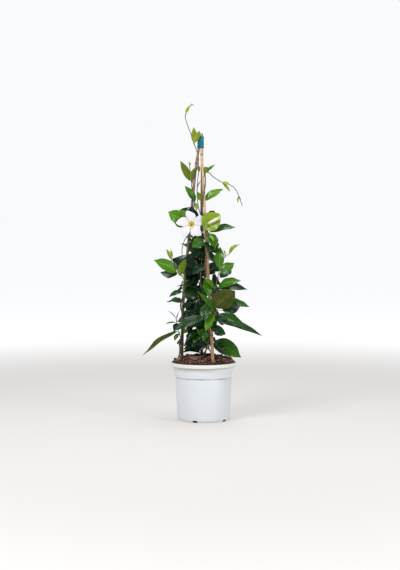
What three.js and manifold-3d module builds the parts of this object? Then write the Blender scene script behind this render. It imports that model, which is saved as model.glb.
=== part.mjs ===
// A potted mandevilla: three bamboo canes tied at the top over a white nursery pot,
// with three twining vines, a white flower and a bud. Millimetres, +Z up, +Y away from
// the front. The origin is the centre of the pot's underside.
import * as THREE from 'three';
import { mergeVertices } from 'three/addons/utils/BufferGeometryUtils.js';
import Module from 'manifold-3d';

const wasm = await Module();
wasm.setup();

// Driving sizes of the pot
const RIM_RADIUS = 85;
const RIM_HEIGHT = 150;
const LIP_HEIGHT = 10;
const LIP_THICKNESS = 3.2;
const COLLAR_RADIUS = 77.3;
const COLLAR_BOTTOM = 113;
const BODY_TOP_RADIUS = 72.6;
const BODY_FOOT_RADIUS = 68.8;
const FOOT_ROUND = 9;
const WALL = 1.5;
const FLOOR = 2;
const POT_SIDES = 28;
const NOTCH_COUNT = 5;
const NOTCH_WIDTH = 12;
const NOTCH_HEIGHT = 6;
const NOTCH_FIRST = -19.5;

// Driving sizes of the filling and of the fits between pieces
const GAP = 0.35;
const SOIL_RISE = 13;
const SOIL_RINGS = [16, 32, 48, 62, 74];
const CHUNK = 1.6;

// Driving sizes of the canes and their tie
const CANE_FOOT = 20;
const CANE_SIDES = 8;
const CANE_LINE_POINTS = 240;
const CANE_FOOT_RADIUS = 4.2;
const CANE_TOP_RADIUS = 3.2;
const CANE_NODE = 0.45;
const CANE_NODE_HALF = 3;
const TIE_BOTTOM = 700;
const TIE_TOP = 731;
const TIE_WALL = 1.1;

// Driving sizes of the vines
const STEM_RADIUS = 1.6;
const SHOOT_RADIUS = 1.15;
const TENDRIL_RADIUS = 0.95;
const PETIOLE_RADIUS = 0.9;
const TWINE_CLEARANCE = 1.2;
const STALK_CLEARANCE = 0.8;
const CALYX_SIDES = 8;
const STEM_SIDES = 5;
const STEM_STEP = 16;
const SHOOT_STEP = 20;
const SHOOT_SIDES = 4;
const BLADE_HALF_THICKNESS = 0.35;
const BLADE_FOLD = 0.16;
const BLADE_STATIONS = [0.12, 0.4, 0.74, 1];
const NARROW_STATIONS = [0.16, 0.56, 1];
const SMALL_LEAF = 18;
const BROAD_LEAF = 31;
const SMALL_HALF_THICKNESS = 0.6;
const SMALL_STATIONS = [0.2, 0.6, 1];

// The canes as hand-placed centre points, foot first, with the heights of their joints
const CANES = {
  left: {
    colour: 0x5a3a26,
    joints: [196, 330, 452, 566, 662],
    centre: [
      [-54, 14, 20], [-56.5, 16, 160], [-55.4, 16, 218], [-51.8, 15, 323], [-41.7, 12, 434],
      [-29.4, 7, 558], [-22.9, 4, 625], [-18.2, 2, 668], [-12.4, 0.9, 702], [-11.6, 0.8, 738],
    ],
  },
  front: {
    colour: 0xb98a5e,
    joints: [224, 352, 470, 588, 684],
    centre: [
      [24, -53, 20], [23.4, -58, 146], [17.5, -57, 260], [10, -47, 400],
      [3.7, -31, 520], [-1.5, -16, 620], [-5.9, -5.3, 702], [-6.6, -4.7, 739],
    ],
  },
  back: {
    colour: 0x7a5233,
    joints: [210, 338, 448, 560, 670],
    centre: [
      [-5, 55, 20], [-5, 61, 150], [-6.5, 59, 300], [-6, 44, 450],
      [-5, 27, 560], [-4.4, 13, 640], [-4.4, 3.4, 702], [-4.4, 2.9, 737],
    ],
  },
};

// Each leaf: where the blade starts, its tip, its width, its roll about its own axis in
// degrees and its arch as a share of its length. At no roll the upper face looks up.
const leaf = (base, tip, width, roll = 0, arch = 0.08) => ({ base, tip, width, roll, arch });

// Each vine: how it rises from the soil, how it winds up its cane, how it ends, its side
// shoots, and its leaves. Heights of a winding are its first and last, angles in degrees.
const VINES = {
  left: {
    colour: 0x2f6a22,
    root: [[-66, 26, 128], [-66, 26, 150], [-63, 25, 166]],
    winding: { from: 180, to: 650, pitch: 105, angle: 180, at: 611 },
    tip: [
      [-13, -7, 668], [-14, -9.5, 679], [-17.5, -10, 692], [-21, -9, 702], [-25, -7, 712],
      [-33, -6, 737], [-42, -8, 761], [-47, -9, 779], [-45, -10, 790],
      [-39, -11, 800], [-33, -12, 809],
    ],
    shoots: [
      [[-50, 8, 335], [-45, -2, 349], [-50, -11, 363], [-65, -17, 382], [-79, -16, 404], [-84, -15, 415]],
      [[-59, 10, 208], [-63, 6, 224], [-68, 1, 242], [-71, -3, 260]],
      [[-30, 4, 612], [-34, 5, 632], [-36, 3, 655]],
      [[-33, -12, 809], [-29, -13, 811], [-26, -14, 808]],
    ],
    stalk: {
      line: [[-41, 5, 432], [-40, -2, 448], [-36, -4, 476], [-32.1, -3.4, 497.7]],
      calyx: { at: [-32.05, -5.05, 498.3], way: [0.03, -0.97, 0.22] },
    },
    leaves: [
      // growing tip above the tie
      leaf([-26, -9, 715], [-25, -16, 754], 15, -20),
      leaf([-23, -12, 714], [-10, -20, 744], 15, -45),
      leaf([-44, -10, 791], [-34, -16, 809], 9, 90),
      leaf([-45, -9, 789], [-45, -4, 800], 4),
      leaf([-33, -12, 809], [-32, -12, 817], 2.5),
      // below the tie
      leaf([-35, 2, 617], [-60, -10, 668], 19, 55),
      leaf([-33, -3, 617], [-21, -14, 652], 14, -20),
      leaf([-36, 3, 655], [-38, 0, 667], 5),
      leaf([-36, 4, 653], [-33, 8, 664], 5),
      leaf([-22, -4, 564], [-49, -6, 604], 21, -60),
      leaf([-19, 6, 560], [-18, -6, 539], 8),
      // behind the flower
      leaf([-40, -10, 501], [-91, -18, 537], 49, -64, 0.1),
      leaf([-12, -2, 519], [-71, -3, 536], 45, -68, 0.06),
      leaf([-43, 0, 474], [-38, -12, 462], 7, -30),
      leaf([-34, -2, 478], [-27, -12, 468], 6, 30),
      // the left side shoot
      leaf([-70, -22, 384], [-128, -42, 415], 36, -60, 0.06),
      leaf([-68, -12, 378], [-112, 2, 382], 30, -45, -0.1),
      leaf([-62, -24, 374], [-45, -42, 418], 20, -30, 0.1),
      leaf([-84, -15, 416], [-96, -20, 443], 9, 50),
      leaf([-83, -14, 416], [-85, -8, 442], 8, 20),
      leaf([-56, 6, 332], [-90, -12, 318], 15, -42, 0.14),
      // the low left side shoot
      leaf([-71, -3, 261], [-92, -12, 283], 7, -30),
      leaf([-69, -5, 261], [-61, -16, 284], 7, 30),
      leaf([-72, -3, 252], [-99, -14, 249], 9, -20),
      leaf([-66, -4, 250], [-76, -24, 230], 18, -20),
      leaf([-68, 10, 228], [-158, -4, 167], 24, 35, 0.06),
      leaf([-59, 6, 226], [-36, 0, 228], 16, 40),
      leaf([-65, 13, 222], [-76, 6, 204], 14, -20),
      // towards the back
      leaf([-60, 26, 302], [-96, 62, 300], 32, -20, 0.12),
      leaf([-48, 26, 392], [-78, 62, 400], 32, -20, 0.12),
      leaf([-40, 20, 444], [-56, 62, 452], 26, 0, 0.12),
      // facing the left side
      leaf([-58, 26, 266], [-54, 64, 254], 32, -65),
      leaf([-56, 24, 338], [-58, 62, 346], 32, -65),
      leaf([-48, -10, 262], [-40, -48, 258], 30, 65),
      leaf([-34, 18, 492], [-38, 50, 504], 26, -65),
      leaf([-60, 22, 210], [-58, 58, 196], 30, -65),
    ],
  },
  front: {
    colour: 0x3a7a26,
    root: [[3, -12, 128], [3, -14, 158], [5, -24, 180], [9, -38, 197], [13.5, -47, 209]],
    winding: { from: 220, to: 636, pitch: 150, angle: 30, at: 634 },
    tip: [
      [8, -9, 640], [14, -11, 637], [24, -16, 627], [36, -22, 619], [48, -27, 612],
      [64, -33, 607], [75, -36, 601], [83, -38, 591], [89, -39, 579], [93, -40, 566], [98, -41, 553],
    ],
    shoots: [
      [[19, -52, 318], [24, -52, 332], [29, -51, 344], [36, -49, 372], [43, -46, 398],
        [50, -45, 419], [65, -45, 431], [74, -46, 443]],
      [[18, -64, 258], [24, -65, 268], [30, -66, 282], [34, -66, 290]],
    ],
    stalk: {
      line: [[8, -48, 438], [5, -51, 458], [1, -52, 480], [-1, -52, 496], [1, -52, 502], [3.6, -52.4, 504.8]],
      calyx: { at: [6, -53, 506], way: [36, -9, 18] },
    },
    leaves: [
      // the long thin shoot at the top right
      leaf([-1, -3, 640], [13, 3, 650], 17, 70),
      leaf([7, -11, 638], [30, -5, 658], 12, 30),
      leaf([49, -28, 612], [65, -36, 611], 5, 20),
      leaf([48, -27, 611], [66, -26, 589], 6, 40),
      leaf([89, -39, 578], [87, -44, 560], 5, 30),
      leaf([90, -38, 577], [94, -34, 564], 4, 30),
      // upper pairs
      leaf([1, -16, 566], [51, -14, 596], 24, 50),
      leaf([-7, -26, 565], [-16, -36, 589], 13, 46),
      leaf([0, -43, 497], [42, -47, 531], 50, 80, 0.02),
      leaf([16, -25, 486], [82, -30, 498], 26, 42, 0.1),
      leaf([9, -22, 508], [28, 22, 541], 26, 40),
      leaf([14, -38, 483], [29, -58, 444], 30, 10),
      leaf([14, -50, 478], [27, -60, 462], 9, 20),
      leaf([0, -44, 464], [-30, -58, 448], 30, -60),
      leaf([24, -52, 440], [-13, -62, 460], 24, -50, 0.05),
      leaf([26, -44, 440], [40, -54, 456], 14, 80),
      // the right side shoot
      leaf([40, -46, 394], [42, -34, 449], 25, 0, 0.05),
      leaf([43, -50, 382], [78, -46, 408], 28, 60, 0.05),
      leaf([42, -44, 370], [72, -20, 388], 26, 30),
      leaf([65, -45, 432], [83, -48, 456], 12, 60),
      leaf([73, -46, 442], [92, -50, 456], 6, 60),
      leaf([54, -45, 422], [50, -48, 444], 6),
      leaf([37, -54, 346], [95, -66, 364], 30, 45, 0.1),
      leaf([38, -46, 342], [112, -32, 338], 28, 42, 0.12),
      leaf([28, -60, 342], [0, -76, 371], 18, -60),
      leaf([2, -62, 364], [17, -70, 320], 24, 30, 0.02),
      // the low front cluster
      leaf([27, -72, 296], [78, -104, 340], 55, -58, 0.04),
      leaf([48, -60, 288], [92, -50, 298], 38, 60),
      leaf([48, -32, 306], [118, -24, 294], 26, 48, 0.1),
      leaf([38, -68, 278], [106, -80, 241], 32, 42, 0.1),
      leaf([30, -62, 262], [149, -60, 222], 30, 34, 0.07),
      leaf([27, -76, 284], [-18, -98, 340], 24, -50, 0.05),
      leaf([8, -70, 305], [3, -92, 262], 28, 0),
      leaf([25, -74, 281], [5, -88, 236], 27, -20, 0.04),
      leaf([2, -66, 272], [-78, -92, 236], 30, -38, 0.08),
      leaf([17, -66, 245], [56, -74, 229], 24, 50),
      leaf([14, -68, 232], [-4, -86, 212], 18, -20),
      // facing the right side
      leaf([30, -44, 264], [50, -6, 254], 32, 65),
      leaf([28, -34, 318], [48, 4, 312], 34, 65),
      leaf([20, -32, 392], [40, 2, 402], 30, 65),
      leaf([18, -26, 452], [34, 2, 468], 26, 60),
    ],
  },
  back: {
    colour: 0x245a24,
    root: [[-3, 14, 128], [-3, 14, 160], [-3.5, 18, 174], [-5, 30, 190], [-7, 43, 204], [-10, 52, 215]],
    winding: { from: 226, to: 500, pitch: 115, angle: 200, at: 226 },
    tip: [[-1, 27, 512], [-7, 20, 528], [-12, 15, 542], [-15, 6, 562], [-17, -1, 590], [-14, -4, 630], [-12, -6, 641]],
    shoots: [
      [[-3, 16, 169], [-3, 9, 180], [-4, 1, 196], [-4, -2, 213], [-3, 2, 258], [-4, 4, 300],
        [-7, 0, 340], [-8, -3, 380], [-5, 4, 424], [-8, 10, 452], [-10, 8, 476]],
      [[-3, 15, 168], [6, 8, 179], [16, -2, 192], [23, -8, 208], [22, -12, 230]],
    ],
    leaves: [
      // young leaves between the canes
      leaf([-13, -6, 638], [-13, -16, 657], 7, -20),
      leaf([-12, -8, 640], [-9, -24, 652], 6, 20),
      leaf([-16, -4, 598], [-6, -24, 618], 5, 20),
      // large leaves in the middle
      leaf([-14, -5, 386], [-82, -2, 416], 54, -72, 0.04),
      leaf([4, -2, 424], [-37, -6, 446], 42, -60, 0.04),
      leaf([0, 12, 376], [-32, 10, 410], 42, -64, 0.04),
      leaf([2, -8, 400], [-30, -38, 377], 24, -40),
      leaf([2, 12, 430], [26, 20, 420], 30, 50),
      leaf([4, 6, 396], [30, 4, 380], 36, 60),
      leaf([-16, -10, 341], [-70, -22, 346], 22, -8, 0.1),
      leaf([-14, -4, 334], [-54, -14, 318], 38, -60),
      leaf([0, -7, 352], [27, -18, 322], 42, 50),
      leaf([-14, 10, 366], [-50, 4, 352], 38, -60),
      leaf([-12, 2, 300], [-46, -4, 284], 38, -60),
      leaf([0, -2, 300], [30, -12, 284], 42, 60),
      leaf([-12, 6, 262], [-44, -6, 258], 34, -60),
      leaf([2, -6, 262], [34, -14, 250], 40, 60),
      leaf([-12, -10, 246], [-2, -44, 212], 26, 0),
      leaf([-12, -6, 236], [-48, -20, 202], 22, -35),
      // close over the soil
      leaf([-12, -6, 222], [-26, -22, 200], 22, -20),
      leaf([4, -8, 224], [5, -26, 198], 18, 0),
      leaf([-10, -6, 188], [-53, -16, 184], 24, -28, 0.1),
      leaf([-9, -2, 172], [-57, -12, 174], 20, -30, 0.22),
      leaf([-10, 4, 172], [-32, 16, 183], 12, -20),
      leaf([30, -8, 206], [96, -28, 164], 42, 62, 0.06),
      leaf([27, -14, 202], [56, -36, 170], 24, 40),
      leaf([28, -14, 226], [56, -24, 223], 22, 40),
      // towards the back
      leaf([-8, 70, 238], [-14, 122, 228], 30, 0, 0.12),
      leaf([-16, 64, 276], [-58, 82, 262], 36, -50, 0.08),
      leaf([6, 64, 276], [46, 82, 262], 36, 50, 0.08),
      leaf([-6, 70, 318], [2, 124, 320], 34, 0, 0.12),
      leaf([-16, 60, 344], [-54, 80, 330], 36, -50, 0.08),
      leaf([4, 60, 344], [44, 80, 330], 36, 50, 0.08),
      leaf([-4, 62, 388], [-10, 110, 398], 32, 0, 0.12),
      leaf([-16, 48, 420], [-48, 66, 410], 32, -50, 0.08),
      leaf([4, 48, 420], [38, 66, 412], 32, 50, 0.08),
      leaf([-2, 54, 462], [-8, 90, 474], 26, 0, 0.12),
      leaf([1, 45, 498], [-4, 70, 520], 18, 0, 0.1),
      // facing both sides, inside the canes
      leaf([14, 50, 262], [34, 14, 246], 32, -65),
      leaf([18, 46, 318], [38, 12, 306], 32, -65),
      leaf([22, 40, 356], [38, 4, 364], 32, -65),
      leaf([18, 40, 436], [38, 12, 446], 28, -65),
      leaf([28, 0, 232], [46, 36, 222], 32, 65),
      leaf([24, 2, 205], [36, 38, 190], 28, 60),
      leaf([-24, 50, 306], [-44, 14, 296], 32, 65),
      leaf([-20, 44, 376], [-40, 18, 372], 28, 65),
      leaf([-16, 46, 212], [-38, 22, 196], 26, 60),
    ],
  },
};

// The flower: its limb's centre, the way it faces, and its lobes
const FLOWER = {
  centre: [-31, -39, 506],
  facing: [0.03, -0.97, 0.22],
  tube: 35,
  mouth: 8.2,
  lobeWide: 18.5,
  lobeNarrow: 11,
  lobeSweep: 9,
  lobes: [
    { angle: 97, reach: 36.5 },
    { angle: 165, reach: 39.5 },
    { angle: 227, reach: 38.5 },
    { angle: 298, reach: 38 },
    { angle: 24, reach: 34 },
  ],
};
const LOBE_STATIONS = [0, 0.28, 0.58, 0.84, 1];
const PETAL_HALF_THICKNESS = 0.4;
const FUNNEL_SIDES = 12;

// The bud: a spindle with five twisted ridges from base to tip
const BUD = { base: [6, -53, 506], tip: [42, -62, 524], radius: 4.3, twist: 150 };

const vector = ([x, y, z]) => new THREE.Vector3(x, y, z);
const curveThrough = (points) => new THREE.CatmullRomCurve3(points.map(vector), false, 'centripetal');

// A closed body through rings of equal point count, both ends filled. In a blade the lower
// half of the section takes the other diagonal, so both faces split alike.
function loft(rings, blade = false) {
  const count = rings[0].length;
  const last = (rings.length - 1) * count;
  const index = [];
  for (let i = 0; i + 1 < rings.length; i += 1) {
    for (let k = 0; k < count; k += 1) {
      const a = i * count + k;
      const b = i * count + ((k + 1) % count);
      const [c, d] = [b + count, a + count];
      index.push(...(blade && k >= count / 2 ? [a, b, d, b, c, d] : [a, b, c, a, c, d]));
    }
  }
  for (let k = 1; k + 1 < count; k += 1) {
    index.push(0, k + 1, k);
    index.push(last, last + k, last + k + 1);
  }
  const geometry = new THREE.BufferGeometry();
  const position = rings.flat().flatMap((p) => p.toArray());
  geometry.setAttribute('position', new THREE.Float32BufferAttribute(position, 3));
  geometry.setIndex(index);
  return geometry;
}

// A geometry as a solid, turned so that its faces point out
function solid(geometry) {
  const bare = geometry.clone();
  bare.deleteAttribute('normal');
  bare.deleteAttribute('uv');
  const merged = mergeVertices(bare, 1e-4);
  const vertProperties = new Float32Array(merged.attributes.position.array);
  const triVerts = new Uint32Array(merged.index.array);
  if (signedVolume(vertProperties, triVerts) < 0) {
    triVerts.reverse();
  }
  return new wasm.Manifold(new wasm.Mesh({ numProp: 3, vertProperties, triVerts }));
}

function signedVolume(position, triangles) {
  const corner = (n) => new THREE.Vector3().fromArray(position, triangles[n] * 3);
  let sum = 0;
  for (let n = 0; n < triangles.length; n += 3) {
    sum += corner(n).dot(corner(n + 1).cross(corner(n + 2)));
  }
  return sum / 6;
}

const fuse = (solids) => solids.reduce((joined, next) => joined.add(next));

function geometryOf(body) {
  const mesh = body.getMesh();
  const geometry = new THREE.BufferGeometry();
  geometry.setAttribute('position', new THREE.Float32BufferAttribute(mesh.vertProperties, 3));
  geometry.setIndex(new THREE.Uint32BufferAttribute(mesh.triVerts, 1));
  geometry.computeVertexNormals();
  return geometry;
}

function addPiece(group, name, body, colour, roughness) {
  const material = new THREE.MeshStandardMaterial({ color: colour, roughness, metalness: 0 });
  const mesh = new THREE.Mesh(geometryOf(body), material);
  mesh.name = name;
  group.add(mesh);
}

const stepsAlong = (path, step) => Math.max(2, Math.ceil(path.getLength() / step));

// A round stem of even thickness along a curve
function stemAlong(points, radius, sides = STEM_SIDES, step = STEM_STEP) {
  const path = curveThrough(points);
  const outline = [];
  for (let k = 0; k < sides; k += 1) {
    const angle = (k / sides) * 2 * Math.PI;
    outline.push(new THREE.Vector2(radius * Math.cos(angle), radius * Math.sin(angle)));
  }
  const options = { steps: stepsAlong(path, step), extrudePath: path, bevelEnabled: false };
  return solid(new THREE.ExtrudeGeometry(new THREE.Shape(outline), options));
}

// The point of a cane's centre line at a height, between two close points of its curve
function centreAt(cane, height) {
  cane.line ??= curveThrough(cane.centre).getPoints(CANE_LINE_POINTS);
  const above = cane.line.findIndex((point, n) => n > 0 && point.z >= height);
  const high = above < 0 ? cane.line.length - 1 : above;
  const [a, b] = [cane.line[high - 1], cane.line[high]];
  return a.clone().lerp(b, (height - a.z) / (b.z - a.z));
}

const topOf = (cane) => cane.centre.at(-1)[2];
const caneRadius = (cane, height) => THREE.MathUtils.mapLinear(
  height, CANE_FOOT, topOf(cane), CANE_FOOT_RADIUS, CANE_TOP_RADIUS,
);

// A cane with a raised ring at each joint; grown by a margin it cuts its own hole
function caneBody(cane, margin = 0) {
  const stations = cane.centre.map(([, , z]) => ({ z, swell: 0 }));
  for (const z of cane.joints) {
    stations.push({ z: z - CANE_NODE_HALF, swell: 0 }, { z, swell: CANE_NODE });
    stations.push({ z: z + CANE_NODE_HALF, swell: 0 });
  }
  stations.sort((a, b) => a.z - b.z);
  const rings = stations.map(({ z, swell }, n) => {
    const end = n === 0 ? -margin : 0;
    const centre = centreAt(cane, z);
    const radius = caneRadius(cane, z) + swell + margin;
    return Array.from({ length: CANE_SIDES }, (_, k) => {
      const angle = (k / CANE_SIDES) * 2 * Math.PI;
      const across = new THREE.Vector3(Math.cos(angle), Math.sin(angle), 0);
      return centre.clone().addScaledVector(across, radius).setZ(z + end);
    });
  });
  return solid(loft(rings));
}

// The centre line of a stem that winds up a cane
function windingAlong(cane, { from, to, pitch, angle, at }) {
  const count = Math.ceil((to - from) / STEM_STEP);
  return Array.from({ length: count + 1 }, (_, n) => {
    const z = from + ((to - from) * n) / count;
    const turn = THREE.MathUtils.degToRad(angle + ((z - at) * 360) / pitch);
    const reach = caneRadius(cane, z) + STEM_RADIUS + TWINE_CLEARANCE;
    const centre = centreAt(cane, z);
    return [centre.x + reach * Math.cos(turn), centre.y + reach * Math.sin(turn), z];
  });
}

// A leaf's half width along its blade, from 0 at the base to 1 at the tip
const leafOutline = (t) => Math.max(0.03, Math.sin(Math.PI * t ** 0.82) ** 0.85);

// The directions of a leaf: along it, out of its upper face, and across it
function leafAxes({ base, tip, roll }) {
  const along = vector(tip).sub(vector(base)).normalize();
  const up = new THREE.Vector3(0, 0, 1);
  const face = up.addScaledVector(along, -up.dot(along)).normalize();
  face.applyAxisAngle(along, THREE.MathUtils.degToRad(roll));
  return { along, face, across: along.clone().cross(face) };
}

// A leaf with its stalk, from the stem that bears it, as one thin arched and folded blade.
// A small leaf has a four-pointed section, and the others six points.
function leafBody(shape, root) {
  const { base, tip, width, arch } = shape;
  const { face, across } = leafAxes(shape);
  const [start, end] = [vector(base), vector(tip)];
  const length = start.distanceTo(end);
  const small = width < SMALL_LEAF;
  const stations = [{ point: root, half: PETIOLE_RADIUS, thick: PETIOLE_RADIUS, fold: 0 }];
  stations.push({ point: start, half: PETIOLE_RADIUS, thick: PETIOLE_RADIUS * 0.8, fold: 0 });
  const wide = width < BROAD_LEAF ? NARROW_STATIONS : BLADE_STATIONS;
  for (const t of small ? SMALL_STATIONS : wide) {
    const point = start.clone().lerp(end, t).addScaledVector(face, arch * length * 4 * t * (1 - t));
    const half = Math.max(0.5, (leafOutline(t) * width) / 2);
    const thick = small ? SMALL_HALF_THICKNESS : BLADE_HALF_THICKNESS;
    stations.push({ point, half, thick, fold: BLADE_FOLD });
  }
  return solid(loft(bladeRings(stations, across, small), !small));
}

// Sections along a line of stations, kept as free of twist as can be
function bladeRings(stations, across, small) {
  const points = stations.map(({ point }) => point);
  const ways = points.map((_, n) => {
    const [before, after] = [points[Math.max(0, n - 1)], points[Math.min(points.length - 1, n + 1)]];
    return after.clone().sub(before).normalize();
  });
  const first = 3;
  const sides = new Array(points.length);
  sides[first] = across.clone();
  const carry = (from, to) => {
    const turn = new THREE.Quaternion().setFromUnitVectors(ways[from], ways[to]);
    sides[to] = sides[from].clone().applyQuaternion(turn);
  };
  for (let n = first; n > 0; n -= 1) {
    carry(n, n - 1);
  }
  for (let n = first; n + 1 < points.length; n += 1) {
    carry(n, n + 1);
  }
  return stations.map(({ point, half, thick, fold }, n) => {
    const up = sides[n].clone().cross(ways[n]).normalize();
    const place = (side, rise) => point.clone()
      .addScaledVector(sides[n], side * half)
      .addScaledVector(up, Math.abs(side) * half * fold + rise * thick);
    return small
      ? [place(-1, 0), place(0, 1), place(1, 0), place(0, -1)]
      : [place(-1, 1), place(0, 1), place(1, 1), place(1, -1), place(0, -1), place(-1, -1)];
  });
}

// Whether a straight stalk between two points passes clear of a cane
function clearOf(cane, from, to) {
  return [0.15, 0.3, 0.45, 0.6, 0.75, 0.9].every((t) => {
    const point = from.clone().lerp(to, t);
    const centre = centreAt(cane, point.z);
    const room = caneRadius(cane, point.z) + PETIOLE_RADIUS + STALK_CLEARANCE;
    return Math.hypot(point.x - centre.x, point.y - centre.y) > room;
  });
}

// Points at which a stem can bear something, on the straight steps that it is built of
function placesAlong(line, step = STEM_STEP) {
  const path = curveThrough(line);
  const corners = path.getSpacedPoints(stepsAlong(path, step));
  return corners.slice(1).flatMap((corner, n) => [0, 0.25, 0.5, 0.75].map(
    (t) => corners[n].clone().lerp(corner, t),
  ));
}

const nearest = (places, wanted) => [...places].sort(
  (a, b) => a.distanceToSquared(wanted) - b.distanceToSquared(wanted),
);

// The point of a stem that bears a leaf: the nearest a little below, with no cane between
function bearer({ base }, places, cane) {
  const order = nearest(places, vector(base).add(new THREE.Vector3(0, 0, -4)));
  return order.find((place) => clearOf(cane, place, vector(base))) ?? order[0];
}

// A small cup of sepals, which holds the foot of a flower or a bud
function calyxBody({ at, way }) {
  const profile = [[0, -3.4], [2.4, -2.6], [3.9, 5.5], [3.1, 5.2], [2.7, -0.5], [0, -0.5]];
  const cup = new THREE.LatheGeometry(profile.map(([r, z]) => new THREE.Vector2(r, z)), CALYX_SIDES);
  return solid(turned(cup.rotateX(Math.PI / 2), at, way));
}

// The stems of one vine: its main stem, its growing tip, its shoots and its flower stalk,
// each of which starts on the main stem or on the tip
function stemLines(vine, cane) {
  const winding = windingAlong(cane, vine.winding);
  const main = [...vine.root, ...winding];
  const tip = [...winding.slice(-2), ...vine.tip];
  const places = [...placesAlong(main), ...placesAlong(tip)];
  const rooted = ([first, ...rest]) => [nearest(places, vector(first))[0].toArray(), ...rest];
  return { main, tip, shoots: vine.shoots.map(rooted), stalks: vine.stalk ? [rooted(vine.stalk.line)] : [] };
}

const leafPlaces = ({ main, tip, shoots }) => [
  ...placesAlong(main),
  ...placesAlong(tip),
  ...shoots.flatMap((line) => placesAlong(line, SHOOT_STEP)),
];

// Everything of one vine that grew as one piece
function vineBody(vine, cane) {
  const { main, tip, shoots, stalks } = stemLines(vine, cane);
  const stems = [
    stemAlong(main, STEM_RADIUS),
    stemAlong(tip, TENDRIL_RADIUS, SHOOT_SIDES),
    ...[...shoots, ...stalks].map((line) => stemAlong(line, SHOOT_RADIUS, SHOOT_SIDES, SHOOT_STEP)),
  ];
  const places = leafPlaces({ main, tip, shoots });
  const leaves = vine.leaves.map((shape) => leafBody(shape, bearer(shape, places, cane)));
  const calyxes = vine.stalk ? [calyxBody(vine.stalk.calyx)] : [];
  return fuse([...stems, ...leaves, ...calyxes]);
}

// The pot: one moulded shell with a flared collar, a rolled lip and notches in its foot
function potOutline(inset) {
  const line = [];
  for (const degrees of [0, 30, 60, 90]) {
    const angle = THREE.MathUtils.degToRad(degrees);
    const round = FOOT_ROUND - inset;
    line.push([
      BODY_FOOT_RADIUS - FOOT_ROUND + round * Math.sin(angle),
      FOOT_ROUND - round * Math.cos(angle),
    ]);
  }
  line.push([BODY_TOP_RADIUS - inset, COLLAR_BOTTOM - 2.5]);
  return line;
}

function potBody() {
  const collarTop = RIM_HEIGHT - LIP_HEIGHT;
  const outer = [
    [0, 0],
    ...potOutline(0),
    [BODY_TOP_RADIUS - 0.3, COLLAR_BOTTOM - 1],
    [BODY_TOP_RADIUS + 1.2, COLLAR_BOTTOM],
    [COLLAR_RADIUS, COLLAR_BOTTOM + 22],
    [COLLAR_RADIUS, collarTop],
    [RIM_RADIUS - 1.4, collarTop - 0.6],
    [RIM_RADIUS, collarTop + 0.6],
    [RIM_RADIUS, RIM_HEIGHT - 1],
    [RIM_RADIUS - 1, RIM_HEIGHT],
  ];
  const inner = [
    [RIM_RADIUS - LIP_THICKNESS + 0.8, RIM_HEIGHT],
    [RIM_RADIUS - LIP_THICKNESS, RIM_HEIGHT - 1],
    [COLLAR_RADIUS - WALL, collarTop - 1.5],
    [COLLAR_RADIUS - WALL, COLLAR_BOTTOM + 22.5],
    [BODY_TOP_RADIUS - WALL, COLLAR_BOTTOM],
    ...potOutline(WALL).reverse().slice(1, 3),
    [BODY_FOOT_RADIUS - FOOT_ROUND, FLOOR],
    [0, FLOOR],
  ];
  const profile = [...outer, ...inner].map(([r, z]) => new THREE.Vector2(r, z));
  const shell = new THREE.LatheGeometry(profile, POT_SIDES).rotateX(Math.PI / 2);
  let body = solid(shell);
  for (let n = 0; n < NOTCH_COUNT; n += 1) {
    const turn = THREE.MathUtils.degToRad(NOTCH_FIRST + (n * 360) / NOTCH_COUNT);
    const block = new THREE.BoxGeometry(NOTCH_WIDTH, 26, NOTCH_HEIGHT * 2);
    block.translate(0, -BODY_FOOT_RADIUS + 6, 0).rotateZ(turn);
    body = body.subtract(solid(block));
  }
  return body;
}

// The potting mix: fills the pot to the brim and rises in a low lumpy mound
function soilBody(holes) {
  const brim = RIM_RADIUS - LIP_THICKNESS - 0.9;
  const sides = [
    [brim, RIM_HEIGHT - 1.6],
    [COLLAR_RADIUS - WALL - GAP, RIM_HEIGHT - LIP_HEIGHT - 1.8],
    [COLLAR_RADIUS - WALL - GAP, COLLAR_BOTTOM + 23],
    [BODY_TOP_RADIUS - WALL - GAP, COLLAR_BOTTOM + 0.2],
    [BODY_FOOT_RADIUS - WALL - GAP, FOOT_ROUND],
    [BODY_FOOT_RADIUS - FOOT_ROUND, FLOOR + GAP],
  ];
  const ring = (radius, height) => Array.from({ length: POT_SIDES }, (_, k) => {
    const angle = (k / POT_SIDES) * 2 * Math.PI;
    return new THREE.Vector3(radius * Math.cos(angle), radius * Math.sin(angle), height(angle));
  });
  const mound = SOIL_RINGS.map((radius) => ring(radius, (angle) => {
    const rise = SOIL_RISE * Math.cos((radius / brim) ** 2 * Math.PI * 0.47);
    const lumps = Math.sin(angle * 7 + radius * 0.31) + Math.sin(angle * 11 - radius * 0.47);
    return RIM_HEIGHT + rise + CHUNK * lumps * (radius < 76 ? 1 : 0.3);
  }));
  const rings = [...mound, ...sides.map(([radius, z]) => ring(radius, () => z))];
  const body = solid(loft(rings));
  return holes.reduce((left, hole) => left.subtract(hole), body);
}

// The tie: a sleeve of tape round the three cane tops, with their holes through it
function tieBody(canes, holes) {
  const ring = (z, grow) => {
    const middle = new THREE.Vector3();
    const centres = canes.map((cane) => centreAt(cane, z));
    centres.forEach((centre) => middle.addScaledVector(centre, 1 / centres.length));
    return Array.from({ length: 18 }, (_, k) => {
      const angle = (k / 18) * 2 * Math.PI;
      const way = new THREE.Vector3(Math.cos(angle), Math.sin(angle), 0);
      const reach = Math.max(...centres.map((c) => c.clone().sub(middle).dot(way)));
      return middle.clone().addScaledVector(way, reach + CANE_TOP_RADIUS + TIE_WALL + grow).setZ(z);
    });
  };
  const rings = [ring(TIE_BOTTOM, 0.5), ring(TIE_BOTTOM + 9, 0.9), ring(TIE_BOTTOM + 20, 0.2), ring(TIE_TOP, 0)];
  return holes.reduce((left, hole) => left.subtract(hole), solid(loft(rings)));
}

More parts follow.
